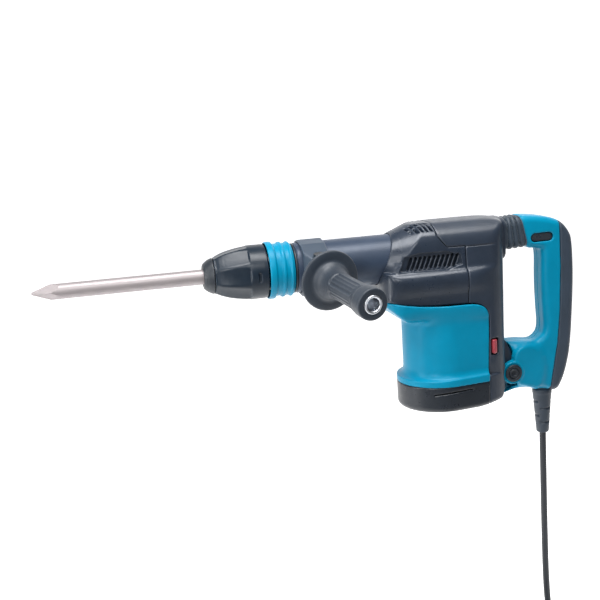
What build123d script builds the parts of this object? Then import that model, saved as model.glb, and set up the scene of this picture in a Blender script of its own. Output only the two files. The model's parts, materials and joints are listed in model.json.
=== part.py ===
"""Demolition hammer: every separate piece as its own solid, in millimetres.

The tool axis is the X axis of the working frame: the chisel points along -X, +Z is up, and
the operator's left side is -Y. X = 0 lies at the front edge of the side handle's clamp band.
The exported parts are moved so that the origin is the middle of the rear grip.
"""
from build123d import *
import math
import os

# ---------------------------------------------------------------- driving dimensions
GRIP_X = 328.0                 # middle of the rear grip, which becomes the origin
GRIP_Z = -66.0

# chisel, chuck and barrel, all on the tool axis
BIT_R = 9.0
BIT_TIP_X = -313.4
BIT_REAR_X = -33.4
BIT_POINT_LENGTH = 35.0
BIT_TIP_HALF_WIDTH = 1.0
BIT_TRAVEL = 12.0
HOLDER_FRONT_X = -112.0
HOLDER_BORE_R = BIT_R + 0.06
HOLDER_R = 15.0
HOLDER_LUG_R = 16.4
HOLDER_SHOULDER_R = 23.5
HOLDER_REAR_X = 30.0
LUG_FRONT_X = -84.0
LUG_REAR_X = -76.0
LUG_WIDTH = 6.0
LUG_INNER_R = 6.6
LUG_STROKE = 2.6
COVER_FRONT_X = -105.0
COVER_REAR_X = -43.0
COVER_R = 32.0
COVER_TRAVEL = 6.0
COVER_FLATS = 8
COVER_WALL = 2.6
SPIGOT_FRONT_X = -46.8         # the change ring slides forward over this end of the cover
SPIGOT_R = 30.2
CAM_SLOPE = LUG_STROKE / COVER_TRAVEL
RING_FRONT_X = -42.0
RING_REAR_X = -11.5
RING_R = 31.5
RING_FLANGE_R = 34.2
RING_RECESS_R = 32.4
BARREL_REAR_X = 118.0
BARREL_R = 30.0
BARREL_BORE_R = 24.0

# hammer mechanism
CYLINDER_R = 17.0
CYLINDER_FRONT_X = 33.0
CYLINDER_REAR_X = 112.0
RUNNING_GAP = 0.05
STRIKER_FRONT_X = 36.0
STRIKER_LENGTH = 18.0
PISTON_FRONT_X = 64.0
PISTON_LENGTH = 24.0
PISTON_PIN_X = 79.0
PISTON_PIN_R = 4.0
CRANK_X = 141.0
CRANK_RADIUS = 15.0
CRANK_PIN_R = 5.0
CRANK_PIN_TOP_Z = -6.6
ROD_HALF_THICKNESS = 6.0
GEAR_MODULE = 1.5
GEAR_TEETH = 44
PINION_TEETH = 8
PRESSURE_ANGLE = 25.0
ADDENDUM = 0.70
DEDENDUM = 1.00
GEAR_BACKLASH = 0.12
GEAR_Z0 = -42.0
GEAR_Z1 = -33.0
MOTOR_X = CRANK_X + GEAR_MODULE * (GEAR_TEETH + PINION_TEETH) / 2

# castings and shells
WALL = 3.5
HOUSING_TOP_Z = 42.0
SPLIT_Z = -55.0                # joint between gear housing and motor housing
SKIRT_Z = -157.0               # joint between motor housing and bottom cover
BASE_Z = -189.0
REAR_SEAM_X = 195.3
COLUMN_SEAM_X = 222.0
HOUSING_REAR_X = 252.0
SHELL_GAP = 0.3
PLATE_Z0 = -55.0
PLATE_Z1 = -49.0
PLATE_SCREWS = [(152.0, 37.0), (206.0, 37.0)]      # one on each side of y = 0
BASE_SCREWS = [(133.5, 0.0), (190.0, 39.0), (190.0, -39.0)]
SCREW_R = 2.2
SCREW_HEAD_R = 4.2

# side handle, measured from the tilt pivot along the grip
SWING_DEG = 7.0
TILT_DEG = 11.5
BAND_X0 = 1.0
BAND_X1 = 28.0
PIVOT_X = 14.9
PIVOT_R = 42.0
FLANGE_R = 35.5
GRIP_END = 128.0

# anti-vibration rear handle
PIVOT_PIN_X = 259.2
PIVOT_PIN_Z = -156.5
PIVOT_LOBE_R = 20.0
EAR_R = 14.5
HANDLE_HALF_Y = 17.0
LOBE_HALF_Y = 18.0
EAR_OUTER_Y = 27.0
HANDLE_SCREWS = [(298.0, 32.3), (308.6, -60.0), (310.2, -106.0), (291.0, -152.0), (294.0, -178.5)]
HANDLE_SCREW_R = 1.6
HANDLE_HEAD_R = 2.7
SPRING_Z = 17.0
SWITCH_X = 306.0
SWITCH_Z = 10.5
DIAL_X = 243.5
DIAL_Z = -20.0
DIAL_R = 14.0

# supply cord: 5.0 m in all, 0.37 m of it from the guard to the coil, the rest tied in the coil
CORD_R = 4.25
GUARD_X = 310.0
GUARD_TOP_Z = -184.0
GUARD_END_Z = -248.0
FLOOR_Z = -540.0
CORD_ROUTE = [
    (310.0, 0.0, GUARD_END_Z),
    (310.0, 0.0, -316.0),
    (310.8, 1.6, -392.0),
    (312.2, 3.0, -460.0),
    (312.0, -4.0, -506.5),
    (311.0, -29.0, -531.0),
    (309.6, -70.0, -535.7),
    (304.5, -102.0, -535.7),
]
COIL_CENTRE = (241.8, -75.0)
COIL_MEAN_R = 59.5
COIL_HALF_WIDTH = 13.0
COIL_HEIGHT = 34.0
PLUG_AT = (222.0, -134.0)
PLUG_R = 19.0
PLUG_REAR_R = 6.8
PLUG_LENGTH = 46.0
PLUG_TURN = 6.0
PLUG_PIN_R = 2.4
PLUG_PIN_LENGTH = 19.0
PLUG_PIN_SPACING = 19.0


# ---------------------------------------------------------------- small helpers
def block(x0, x1, y0, y1, z0, z1):
    """A box given by its limits."""
    size = (x1 - x0, y1 - y0, z1 - z0)
    return Pos((x0 + x1) / 2, (y0 + y1) / 2, (z0 + z1) / 2) * Box(*size)


def rod_x(radius, x0, x1, y=0.0, z=0.0):
    """A cylinder along X."""
    return Pos((x0 + x1) / 2, y, z) * Rot(0, 90, 0) * Cylinder(radius, x1 - x0)


def rod_y(radius, y0, y1, x=0.0, z=0.0):
    """A cylinder along Y."""
    return Pos(x, (y0 + y1) / 2, z) * Rot(90, 0, 0) * Cylinder(radius, y1 - y0)


def rod_z(radius, z0, z1, x=0.0, y=0.0):
    """A cylinder along Z."""
    return Pos(x, y, (z0 + z1) / 2) * Cylinder(radius, z1 - z0)


def turned(profile):
    """Turn a profile of (x, radius) points about the tool axis."""
    outline = Polyline(*[(x, 0, r) for x, r in profile], close=True)
    return revolve(make_face(outline), Axis.X)


def turned_z(profile, x=0.0, y=0.0):
    """Turn a profile of (radius, z) points about a vertical axis."""
    outline = Polyline(*[(r, 0, z) for r, z in profile], close=True)
    return Pos(x, y, 0) * revolve(make_face(outline), Axis.Z)


def side_plate(points, y0, y1):
    """Extrude an outline of (x, z) points from y0 to y1."""
    outline = Polyline(*[(x, y0, z) for x, z in points], close=True)
    return extrude(make_face(outline), y1 - y0, dir=(0, 1, 0))


def cross_section(points, x0, x1):
    """Extrude an outline of (y, z) points from x0 to x1."""
    outline = Polyline(*[(x0, y, z) for y, z in points], close=True)
    return extrude(make_face(outline), x1 - x0, dir=(1, 0, 0))


def mirrored(points):
    """Close a half outline of (y, z) points, given from top to bottom, across y = 0."""
    return points + [(-y, z) for y, z in reversed(points)]


def soften(shape, edges, radius):
    """Round the edges given, and leave the shape as it is if they cannot be rounded."""
    try:
        softened = fillet(edges, radius)
    except (ValueError, RuntimeError):
        return shape
    return softened if softened.is_valid else shape


def plan_outline(front_x, front_r, rear_x, half_rear, z):
    """A round-fronted outline: an arc about (front_x, 0), then straight sides to rear_x."""
    run = rear_x - front_x
    reach = math.hypot(run, half_rear)
    turn = math.acos(front_r / reach) + math.atan2(half_rear, run)
    side = (front_x + front_r * math.cos(turn), front_r * math.sin(turn))
    nose = (front_x - front_r, 0)
    arc = ThreePointArc((*side, z), (*nose, z), (side[0], -side[1], z))
    lower = Line((side[0], -side[1], z), (rear_x, -half_rear, z))
    rear = Line((rear_x, -half_rear, z), (rear_x, half_rear, z))
    upper = Line((rear_x, half_rear, z), (*side, z))
    return make_face([arc, lower, rear, upper])


def lofted(lower, upper):
    """A solid between two plan outlines."""
    return loft([lower, upper])


def coil_spring(mean_r, wire_r, x0, x1, turns, z=0.0):
    """A round-wire compression spring along X."""
    path = Pos(x0, 0, z) * Rot(0, 90, 0) * Helix((x1 - x0) / turns, x1 - x0, mean_r)
    start = path @ 0
    wire = Plane(origin=start, z_dir=path % 0) * Circle(wire_r)
    return sweep(wire, path, is_frenet=True)


def swung(shape):
    """Turn a piece of the side handle about the barrel to its rest angle."""
    return Rot(SWING_DEG, 0, 0) * shape


def tilted(shape):
    """Place a piece drawn along -Y from the tilt pivot at its rest tilt and swing."""
    return swung(Pos(PIVOT_X, -PIVOT_R, 0) * Rot(0, 0, TILT_DEG) * shape)


# ---------------------------------------------------------------- chisel and chuck
def chisel_bit():
    """An 18 mm round shank with locking flats behind and a four-sided point in front."""
    shank = rod_x(BIT_R, BIT_TIP_X, BIT_REAR_X)
    grow = BIT_R / BIT_POINT_LENGTH
    reach = 60.0
    tip = Pos(BIT_TIP_X, 0, 0) * Rot(0, 90, 0) * Rectangle(2 * BIT_TIP_HALF_WIDTH, 2 * BIT_TIP_HALF_WIDTH)
    wide = 2 * (BIT_TIP_HALF_WIDTH + reach * grow)
    back = Pos(BIT_TIP_X + reach, 0, 0) * Rot(0, 90, 0) * Rectangle(wide, wide)
    point = Rot(45, 0, 0) * loft([tip, back])
    body = (shank & point) + rod_x(BIT_R, BIT_TIP_X + reach, BIT_REAR_X)
    for side in (-1, 1):
        lug_groove = block(LUG_FRONT_X - 1, LUG_REAR_X + BIT_TRAVEL + 1, -3.3, 3.3, 0, 4)
        body -= Pos(0, 0, side * (LUG_INNER_R - 0.3 + 2)) * Pos(0, 0, -2) * lug_groove
        key_slot = block(-64, BIT_REAR_X, -1.5, 1.5, -2.7, 2.7)
        body -= Pos(0, side * (BIT_R - 1.2), 0) * key_slot
    return body


def nose_cap():
    """Rubber dust cap on the front of the tool holder."""
    profile = [(-117, 10.5), (-117, 14.5), (-114.5, 17.0), (-111, 19.0), (-106, 21.0),
               (-105.4, 21.0), (-105.4, 15.3), (-112.3, 15.3), (-112.3, 9.6), (-116, 9.6)]
    return turned(profile)


def tool_holder():
    """Hardened sleeve that guides the shank, with windows for the locking lugs."""
    profile = [(HOLDER_FRONT_X, HOLDER_BORE_R), (HOLDER_FRONT_X, HOLDER_R),
               (-92, HOLDER_R), (-90, HOLDER_LUG_R - 0.4), (-68, HOLDER_LUG_R - 0.4),
               (-66, HOLDER_R), (-30, HOLDER_R), (-28, 18.5), (-1.5, 18.5), (0.5, HOLDER_SHOULDER_R),
               (HOLDER_REAR_X, HOLDER_SHOULDER_R), (HOLDER_REAR_X, 11.6), (-31, 11.6),
               (-31, HOLDER_BORE_R)]
    body = turned(profile)
    half = LUG_WIDTH / 2 + 0.25
    body -= block(LUG_FRONT_X - 0.25, LUG_REAR_X + 0.25, -half, half, -20, 20)
    for side in (-1, 1):
        body += Pos(0, side * (BIT_R - 0.05), 0) * block(-60, -45, -0.9, 0.9, -2.4, 2.4)
    return body


def locking_lug(side):
    """Hardened block that locks the shank; its sloped back rides on the release cover."""
    rear_r = HOLDER_LUG_R - 0.3
    front_r = rear_r + CAM_SLOPE * (LUG_REAR_X - LUG_FRONT_X)
    points = [(LUG_FRONT_X, LUG_INNER_R), (LUG_REAR_X, LUG_INNER_R),
              (LUG_REAR_X, rear_r), (LUG_FRONT_X, front_r)]
    lug = side_plate([(x, side * r) for x, r in points], -LUG_WIDTH / 2, LUG_WIDTH / 2)
    return lug


def release_cover():
    """Sliding sleeve with eight flat grip panels; a cam inside lets the lugs move out."""
    outer = [(COVER_FRONT_X, 21.5), (-99, 24.4), (-91, 27.4), (-82, 29.8), (-72, 31.4),
             (-63, 32.4), (-58, COVER_R), (SPIGOT_FRONT_X, COVER_R),
             (SPIGOT_FRONT_X, SPIGOT_R), (COVER_REAR_X, SPIGOT_R)]
    spigot_bore = SPIGOT_R - COVER_WALL
    inner = [(COVER_REAR_X, spigot_bore), (-52, spigot_bore), (-54, COVER_R - COVER_WALL), (-63, 29.3),
             (-68, 28.5), (-68, 17.6), (-75.8, 16.7)]
    cam_front_r = 16.7 + CAM_SLOPE * 14.5
    inner += [(-90.3, cam_front_r), (-92, 23.3), (-99, 21.0), (COVER_FRONT_X, 18.6)]
    body = turned(outer + inner)
    floor = [(-103.5, 22.4), (-91, 26.2), (-82, 28.4), (-72, 30.1), (-63.5, 31.1), (-61.8, 32.6)]
    flat = side_plate(floor + [(-61.8, 45), (-103.5, 45)], -9, 9)
    for i in range(COVER_FLATS):
        body -= Rot(360 / COVER_FLATS * i, 0, 0) * flat
    return body


def change_ring():
    """Ring that is slid forward and turned to set the chisel's angle."""
    outer = [(RING_FRONT_X, RING_RECESS_R), (RING_FRONT_X, RING_FLANGE_R - 0.6),
             (-41, RING_FLANGE_R),
             (-33.5, RING_FLANGE_R), (-31.5, RING_R), (-27, RING_R), (-25.6, 33.2), (-23.6, 33.2),
             (-22.2, RING_R), (-17.6, RING_R), (-16.2, 33.0), (-14.6, 33.0), (-13.2, RING_R),
             (RING_REAR_X, RING_R - 0.6)]
    inner = [(RING_REAR_X, 25), (-26, 25), (-26, 18.8), (-30.6, 18.8), (-30.6, RING_RECESS_R)]
    return turned(outer + inner)


def release_spring():
    """Compression spring between the tool holder's collar and the release cover."""
    return coil_spring(22.5, 1.0, -65.5, -33.5, 5)


def barrel_seal():
    """Rubber ring that closes the gap between the change ring and the barrel."""
    return turned([(-10.9, 19.3), (-10.9, 28.6), (-9.8, 29.8), (-8.2, 29.8), (-8.2, 24.2),
                   (-10.3, 24.2), (-10.3, 19.3)])


def barrel_housing():
    """Aluminium barrel that carries the tool holder and the cylinder."""
    profile = [(-7.9, 19.0), (-7.9, 28.8), (-6.5, BARREL_R), (BARREL_REAR_X, BARREL_R),
               (BARREL_REAR_X, BARREL_BORE_R), (0.0, BARREL_BORE_R), (-2.0, 19.0)]
    body = turned(profile)
    return body


# ---------------------------------------------------------------- hammer mechanism
def impact_bolt():
    """Anvil between the striker and the chisel."""
    return turned([(-33.1, 0), (-33.1, 7.8), (-32, 8.8), (-17, 8.8), (-14, 11.5), (-4, 11.5),
                   (0, 8.5), (32, 8.5), (33, 7.5), (33, 0)])


def cylinder():
    """Steel cylinder in which the piston drives the striker on an air cushion."""
    land = BARREL_BORE_R - 0.05
    profile = [(CYLINDER_FRONT_X, CYLINDER_R), (CYLINDER_FRONT_X, land), (43, land), (44, 20.5),
               (100, 20.5), (101, land), (CYLINDER_REAR_X, land), (CYLINDER_REAR_X, CYLINDER_R)]
    body = turned(profile)
    for i in range(6):
        body -= Rot(60 * i, 0, 0) * rod_z(1.5, 15, 25, x=56)
    return body


def striker():
    """Free-flying steel mass with a seal groove."""
    r = CYLINDER_R - RUNNING_GAP
    x0 = STRIKER_FRONT_X
    x1 = x0 + STRIKER_LENGTH
    return turned([(x0, 0), (x0, 9), (x0 + 5, 10), (x0 + 5, r), (x0 + 9, r), (x0 + 9, r - 2),
                   (x0 + 12, r - 2), (x0 + 12, r), (x1, r), (x1, 0)])


def piston():
    """Aluminium piston, open behind for the connecting rod."""
    r = CYLINDER_R - RUNNING_GAP
    x0 = PISTON_FRONT_X
    x1 = x0 + PISTON_LENGTH
    body = turned([(x0, 0), (x0, r), (x0 + 2.5, r), (x0 + 2.5, r - 1.6), (x0 + 5, r - 1.6),
                   (x0 + 5, r), (x1, r), (x1, 0)])
    body -= block(x0 + 7, x1 + 1, -11, 11, -6.5, 6.5)
    body -= rod_z(PISTON_PIN_R + 0.02, -20, 20, x=PISTON_PIN_X)
    return body


def piston_pin():
    """Pin that joins the piston to the connecting rod."""
    return rod_z(PISTON_PIN_R, -15.5, 15.5, x=PISTON_PIN_X)


def connecting_rod():
    """Forged rod with an eye on the piston pin and an eye above the crank pin."""
    big_x = CRANK_X - CRANK_RADIUS
    t = ROD_HALF_THICKNESS
    body = rod_z(7.5, -t, t, x=PISTON_PIN_X) + rod_z(10, -t, t, x=big_x)
    body += block(PISTON_PIN_X, big_x, -4, 4, -t + 1.5, t - 1.5)
    body -= rod_z(PISTON_PIN_R + RUNNING_GAP, -20, 20, x=PISTON_PIN_X)
    body -= rod_z(CRANK_PIN_R + RUNNING_GAP, -20, 20, x=big_x)
    return body


def involute_gear(teeth, bore_r, z0, z1, phase_deg):
    """A spur gear with involute flanks about the Z axis."""
    pitch_r = GEAR_MODULE * teeth / 2
    base_r = pitch_r * math.cos(math.radians(PRESSURE_ANGLE))
    tip_r = pitch_r + ADDENDUM * GEAR_MODULE
    root_r = pitch_r - DEDENDUM * GEAR_MODULE

    def spread(radius):
        if radius <= base_r:
            return 0.0
        roll = math.sqrt((radius / base_r) ** 2 - 1)
        return roll - math.atan(roll)

    half_tooth = math.pi / (2 * teeth) - GEAR_BACKLASH / (2 * pitch_r)
    start_r = max(base_r, root_r + 0.1)
    steps = 4
    flank = [start_r + (tip_r - start_r) * k / steps for k in range(steps + 1)]
    outline = []
    for tooth in range(teeth):
        centre = math.radians(phase_deg) + 2 * math.pi * tooth / teeth
        angles = [(r, half_tooth + spread(pitch_r) - spread(r)) for r in flank]
        left = [(root_r, -angles[0][1])] + [(r, -a) for r, a in angles]
        right = [(r, a) for r, a in reversed(angles)] + [(root_r, angles[0][1])]
        outline += [(r * math.cos(centre + a), r * math.sin(centre + a)) for r, a in left + right]
    face = make_face(Polyline(*[(x, y, z0) for x, y in outline], close=True))
    return extrude(face, z1 - z0, dir=(0, 0, 1)) - rod_z(bore_r, z0 - 1, z1 + 1)


def crank_gear():
    """Large gear pressed on the crank shaft; a tooth gap faces the pinion."""
    gear = involute_gear(GEAR_TEETH, 8.05, GEAR_Z0, GEAR_Z1, 180.0 / GEAR_TEETH)
    for i in range(6):
        angle = math.radians(60 * i + 30)
        gear -= rod_z(5, GEAR_Z0 - 1, GEAR_Z1 + 1, x=20 * math.cos(angle), y=20 * math.sin(angle))
    return Pos(CRANK_X, 0, 0) * gear


def crank_shaft():
    """Crank shaft, its disc with a counterweight side, and the crank pin."""
    body = rod_z(6, PLATE_Z0, PLATE_Z1 + 1) + rod_z(8, PLATE_Z1 + 1, -20)
    body += rod_z(20, -20, -13)
    body -= block(-22, -3, 12, 22, -21, -12)
    body -= block(-22, -3, -22, -12, -21, -12)
    body += rod_z(CRANK_PIN_R, -13, CRANK_PIN_TOP_Z, x=-CRANK_RADIUS)
    return Pos(CRANK_X, 0, 0) * body


def bearing(outer_r, inner_r, z0, z1, x):
    """A ball bearing as one ring with shield grooves."""
    mid = (outer_r + inner_r) / 2
    return turned_z([(inner_r, z0), (outer_r, z0), (outer_r, z1), (mid + 1.5, z1),
                     (mid + 1.5, z1 - 0.4), (mid - 1.5, z1 - 0.4), (mid - 1.5, z1), (inner_r, z1)], x=x)


def crank_bearings():
    """Two bearings of the crank shaft."""
    return [bearing(13, 6.02, PLATE_Z0, PLATE_Z1, CRANK_X), bearing(15, 8.02, -29, -22.3, CRANK_X)]


def armature():
    """Motor armature with pinion, laminations, windings and commutator."""
    body = rod_z(5, -176, PLATE_Z1) + rod_z(4.4, PLATE_Z1, -43.4)
    body += rod_z(23, -128, -84)
    body += turned_z([(5, -137), (16, -137), (19.5, -133), (19.5, -128), (5, -128)])
    body += turned_z([(5, -84), (19.5, -84), (19.5, -79), (16, -75), (5, -75)])
    body += rod_z(14, -158, -141)
    for i in range(12):
        slot = block(21.5, 24, -1.2, 1.2, -129, -83)
        body -= Rot(0, 0, 30 * i) * slot
    pinion = involute_gear(PINION_TEETH, 1.0, -43.4, GEAR_Z1 + 0.4, 180.0)
    body = Pos(MOTOR_X, 0, 0) * (body + pinion)
    return body


def cooling_fan():
    """Centrifugal fan on the armature shaft."""
    body = rod_z(11, -73, -63) + rod_z(37, -65, -63)
    for i in range(12):
        blade = Pos(24, 0, -68.5) * Rot(0, 0, 28) * Box(24, 1.6, 8)
        body += Rot(0, 0, 30 * i) * blade
    body -= rod_z(5.01, -80, -60)
    return Pos(MOTOR_X, 0, 0) * body


def armature_bearings():
    """Upper bearing in the gear plate and lower bearing in the bottom cover."""
    return [bearing(11, 5.02, PLATE_Z0, PLATE_Z1, MOTOR_X), bearing(11, 5.02, -176, -168, MOTOR_X)]


def field_core():
    """Laminated stator with two pole windings."""
    body = rod_z(41, -130, -82) - rod_z(24, -131, -81)
    body -= block(-50, 50, 34, 50, -131, -81) + block(-50, 50, -50, -34, -131, -81)
    body += block(26, 34, -16, 16, -138, -130) + block(-34, -26, -16, 16, -138, -130)
    return Pos(MOTOR_X, 0, 0) * body


def brush_pair(y0, y1, half_x, half_z, hollow=0.0):
    """Two opposite bars beside the commutator, hollow for the holders."""
    bars = []
    for side in (-1, 1):
        low, high = sorted((side * y0, side * y1))
        bar = block(MOTOR_X - half_x, MOTOR_X + half_x, low, high, -149.5 - half_z, -149.5 + half_z)
        if hollow:
            bar -= block(MOTOR_X - half_x + hollow, MOTOR_X + half_x - hollow, low - 1, high + 1,
                         -149.5 - half_z + hollow, -149.5 + half_z - hollow)
        bars.append(bar)
    return bars


# ---------------------------------------------------------------- housings
def upper_outline(inset):
    """Gear and rear housing envelope, shrunk by inset for the space inside."""
    i = inset
    side = [(107 + i, 36 - i), (118 + i, 38 - i), (134, 40.5 - i), (150, HOUSING_TOP_Z - i),
            (222, HOUSING_TOP_Z - i), (246, 40 - i), (HOUSING_REAR_X - i, 34 - i),
            (HOUSING_REAR_X - i, SPLIT_Z), (96 + i, SPLIT_Z), (92 + i, -40), (91.5 + i, -28),
            (94 + i, -14), (100 + i, 8), (105.5 + i, 26)]
    half = [(19 - i * 0.5, HOUSING_TOP_Z - i), (33 - i, 33 - i * 0.7), (40 - i, 14), (41 - i, -12),
            (45.5 - i, -16 - i * 0.4), (49.5 - i, -22), (50.5 - i, -28), (49.5 - i, -35),
            (46.5 - i, -41 + i * 0.3), (45 - i, -46), (45 - i, SPLIT_Z)]
    plan = [(91.5 + i, -26), (97 + i, -40 + i), (108 + i, -50.5 + i), (196, -50.5 + i),
            (222, -46 + i), (242 - i * 0.5, -37 + i), (HOUSING_REAR_X - i, -26)]
    plan_loop = plan + [(x, -y) for x, y in reversed(plan)]
    profile = side_plate(side, -60, 60)
    tube = cross_section(mirrored(half), 80, 270)
    outline = Polyline(*[(x, y, SPLIT_Z) for x, y in plan_loop], close=True)
    plug = extrude(make_face(outline), 120, dir=(0, 0, 1))
    return profile & tube & plug


def gear_housing():
    """Magnesium housing around the crank gear and the barrel's rear end, with vents."""
    shell = upper_outline(0) - upper_outline(WALL)
    socket = rod_x(BARREL_R + 5, 93, 119) & upper_outline(0)
    web = (block(120, 164, -60, 60, -29, -22) & upper_outline(1)) - rod_z(15.05, -40, 0, x=CRANK_X)
    body = shell + socket + web
    body -= rod_x(BARREL_R + 0.15, 80, 120)
    body -= rod_z(35.4, GEAR_Z0 - 2, GEAR_Z1 + 0.8, x=CRANK_X)
    for row in range(2):
        for i in range(5):
            slot = Pos(129 + 7.5 * i + 2 * row, 0, 0) * block(-2, 2, 0, 9, 20, 60)
            for side in (-1, 1):
                y = side * (5 + 11 * row) if side > 0 else -(5 + 11 * row) - 9
                body -= Pos(0, y, 0) * slot
    for side in (-1, 1):
        for i in range(9):
            slot = Pos(122 + 7.2 * i, side * 38, -3) * Rot(0, 22, 0) * Box(3.4, 16, 17)
            body -= slot
    body -= block(REAR_SEAM_X - SHELL_GAP / 2, 300, -70, 70, -100, 100)
    body -= block(162, 300, -70, 70, 13 - SHELL_GAP, 100)
    return body


def rear_cover():
    """Rear housing shell: top, back wall, column behind the motor and pivot lobe."""
    shell = upper_outline(0) - upper_outline(WALL)
    front = block(50, REAR_SEAM_X + SHELL_GAP / 2, -70, 70, -100, 13)
    front += block(50, 162 + SHELL_GAP, -70, 70, -100, 100)
    body = shell - front
    column = column_envelope(0) - column_envelope(WALL)
    lobe = rod_y(PIVOT_LOBE_R, -LOBE_HALF_Y, LOBE_HALF_Y, x=PIVOT_PIN_X, z=PIVOT_PIN_Z)
    lobe &= block(228, 300, -30, 30, -200, SKIRT_Z + SHELL_GAP + 40)
    body = body + column - ear_spaces() + lobe
    body -= rod_y(5.05, -40, 40, x=PIVOT_PIN_X, z=PIVOT_PIN_Z)
    body -= rod_x(4.1, 247, 256, z=SPRING_Z)
    body -= block(226, 256, -5, 5, DIAL_Z - 15.2, DIAL_Z + 15.2)
    for y0, y1 in ((5.2, 8.5), (-8.5, -5.2)):
        body += block(237, 249, y0, y1, DIAL_Z - 7, DIAL_Z + 7)
    body -= rod_y(2.52, -20, 20, x=DIAL_X, z=DIAL_Z)
    body -= block(224, 240, -60, -28, -124.5, -105.5)
    return body


def ear_spaces():
    """Room beside the pivot lobe for the two ears of the rear handle."""
    room = rod_y(EAR_R + 1.2, LOBE_HALF_Y + 0.1, 60, x=PIVOT_PIN_X, z=PIVOT_PIN_Z)
    room += rod_y(EAR_R + 1.2, -60, -LOBE_HALF_Y - 0.1, x=PIVOT_PIN_X, z=PIVOT_PIN_Z)
    return room


def column_envelope(inset):
    """Column behind the motor, from the housing split down to the bottom cover."""
    i = inset
    plan = [(COLUMN_SEAM_X + SHELL_GAP, -44.5 + i), (238, -36 + i), (248 - i * 0.6, -27 + i),
            (HOUSING_REAR_X - i, -18)]
    loop = plan + [(x, -y) for x, y in reversed(plan)]
    top = SPLIT_Z if i == 0 else SPLIT_Z + 1
    bottom = SKIRT_Z + SHELL_GAP
    outline = Polyline(*[(x, y, bottom) for x, y in loop], close=True)
    return extrude(make_face(outline), top - bottom, dir=(0, 0, 1))


def bearing_plate():
    """Plate between gears and motor that holds the upper bearings."""
    body = block(102, 214, -40.8, 40.8, PLATE_Z0, PLATE_Z1)
    body = soften(body, body.edges().filter_by(Axis.Z), 12)
    for x, y in PLATE_SCREWS:
        body -= rod_z(2.55, -70, -40, x=x, y=y) + rod_z(2.55, -70, -40, x=x, y=-y)
    body -= rod_z(13.02, -70, -40, x=CRANK_X)
    body -= rod_z(11.02, -70, -40, x=MOTOR_X)
    return body


def motor_housing():
    """Motor shell: chin under the barrel, round body and flared skirt."""
    cut_x = COLUMN_SEAM_X - SHELL_GAP
    top = SPLIT_Z - SHELL_GAP
    bottom = SKIRT_Z + SHELL_GAP

    def envelope(i):
        upper = plan_outline(141, 45 - i, cut_x, 44 - i, top)
        chin = plan_outline(144, 45 - i, cut_x, 44 - i, -62)
        neck = plan_outline(MOTOR_X - 4, 50 - i, cut_x, 44.5 - i, -78)
        waist = plan_outline(MOTOR_X - 4, 50 - i, cut_x, 44.5 - i, -143)
        hem = plan_outline(MOTOR_X - 10, 53 - i, cut_x, 46.5 - i, bottom)
        return lofted(chin, upper) + lofted(neck, chin) + lofted(waist, neck) + lofted(hem, waist)

    body = envelope(0) - envelope(WALL)
    body -= block(cut_x - WALL - 1, cut_x + 1, -36, 36, -150, -60)
    inside = envelope(1)
    for i in range(4):
        rib = Pos(MOTOR_X, 0, 0) * Rot(0, 0, 45 + 90 * i) * block(41.3, 60, -3, 3, -132, -80)
        body += rib & inside
    for x, y in PLATE_SCREWS:
        for side in (-1, 1):
            boss = rod_z(5.5, -76, top - 0.5, x=x, y=side * y)
            body += boss & inside
            body -= rod_z(2.55, -80, -50, x=x, y=side * y)
    for x, y in BASE_SCREWS:
        boss = rod_z(8.5, bottom, -145, x=x, y=y)
        body += boss & inside
        body -= rod_z(2.25, bottom - 1, -147, x=x, y=y)
    return body


def bottom_outline(inset, z0, z1):
    """Egg-shaped plan of the base."""
    i = inset
    egg = plan_outline(170, 53 - i, 232, 31.5 - i, z0)
    tail = Pos(232, 0, z0) * Circle(31.5 - i)
    return extrude(egg, z1 - z0, dir=(0, 0, 1)) + extrude(tail, z1 - z0, dir=(0, 0, 1))


def bottom_cover():
    """Cover under the motor, with the lower bearing seat."""
    body = bottom_outline(0, BASE_Z, SKIRT_Z)
    low_edges = body.edges().group_by(Axis.Z)[0]
    body = soften(body, low_edges, 6)
    body -= bottom_outline(WALL, BASE_Z + WALL, SKIRT_Z + 1)
    body += rod_z(15, BASE_Z + 1, -168, x=MOTOR_X) - rod_z(11.02, -176.05, -160, x=MOTOR_X)
    inside = bottom_outline(1, BASE_Z + 1, SKIRT_Z)
    for x, y in BASE_SCREWS:
        body += rod_z(6, BASE_Z + 1, SKIRT_Z, x=x, y=y) & inside
        body -= rod_z(2.25, BASE_Z - 1, SKIRT_Z + 1, x=x, y=y)
        body -= rod_z(4.4, BASE_Z - 1, BASE_Z + 3.2, x=x, y=y)
    body -= rod_y(PIVOT_LOBE_R + 0.4, -LOBE_HALF_Y - 0.4, LOBE_HALF_Y + 0.4,
                  x=PIVOT_PIN_X, z=PIVOT_PIN_Z)
    body -= ear_spaces()
    body -= block(253, 300, -60, 60, -200, -150)
    return body


# ---------------------------------------------------------------- small fittings
def speed_dial():
    """Toothed thumb wheel that sets the blow rate."""
    body = rod_y(DIAL_R - 1.2, -4, 4)
    for i in range(24):
        body += Rot(0, 15 * i, 0) * block(-1.0, 1.0, -4, 4, DIAL_R - 2.4, DIAL_R)
    body -= rod_y(2.55, -6, 6)
    return Pos(DIAL_X, 0, DIAL_Z) * body


def dial_shaft():
    """Fixed shaft of the thumb wheel on the control board."""
    return rod_y(2.5, -9, 9, x=DIAL_X, z=DIAL_Z)


def control_board():
    """Speed control board inside the column, with its heat sink."""
    body = block(226.5, 229, -24, 24, -98, -62) + block(229, 236, -20, 20, -96, -66)
    return body


def indicator_lamp():
    """Service indicator: a red lens in the side of the column."""
    lens = Pos(228.3, -41.2, -115) * Rot(0, 0, 26) * Box(6.4, 5, 17.5)
    return soften(lens, lens.edges(), 1.6)


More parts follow.
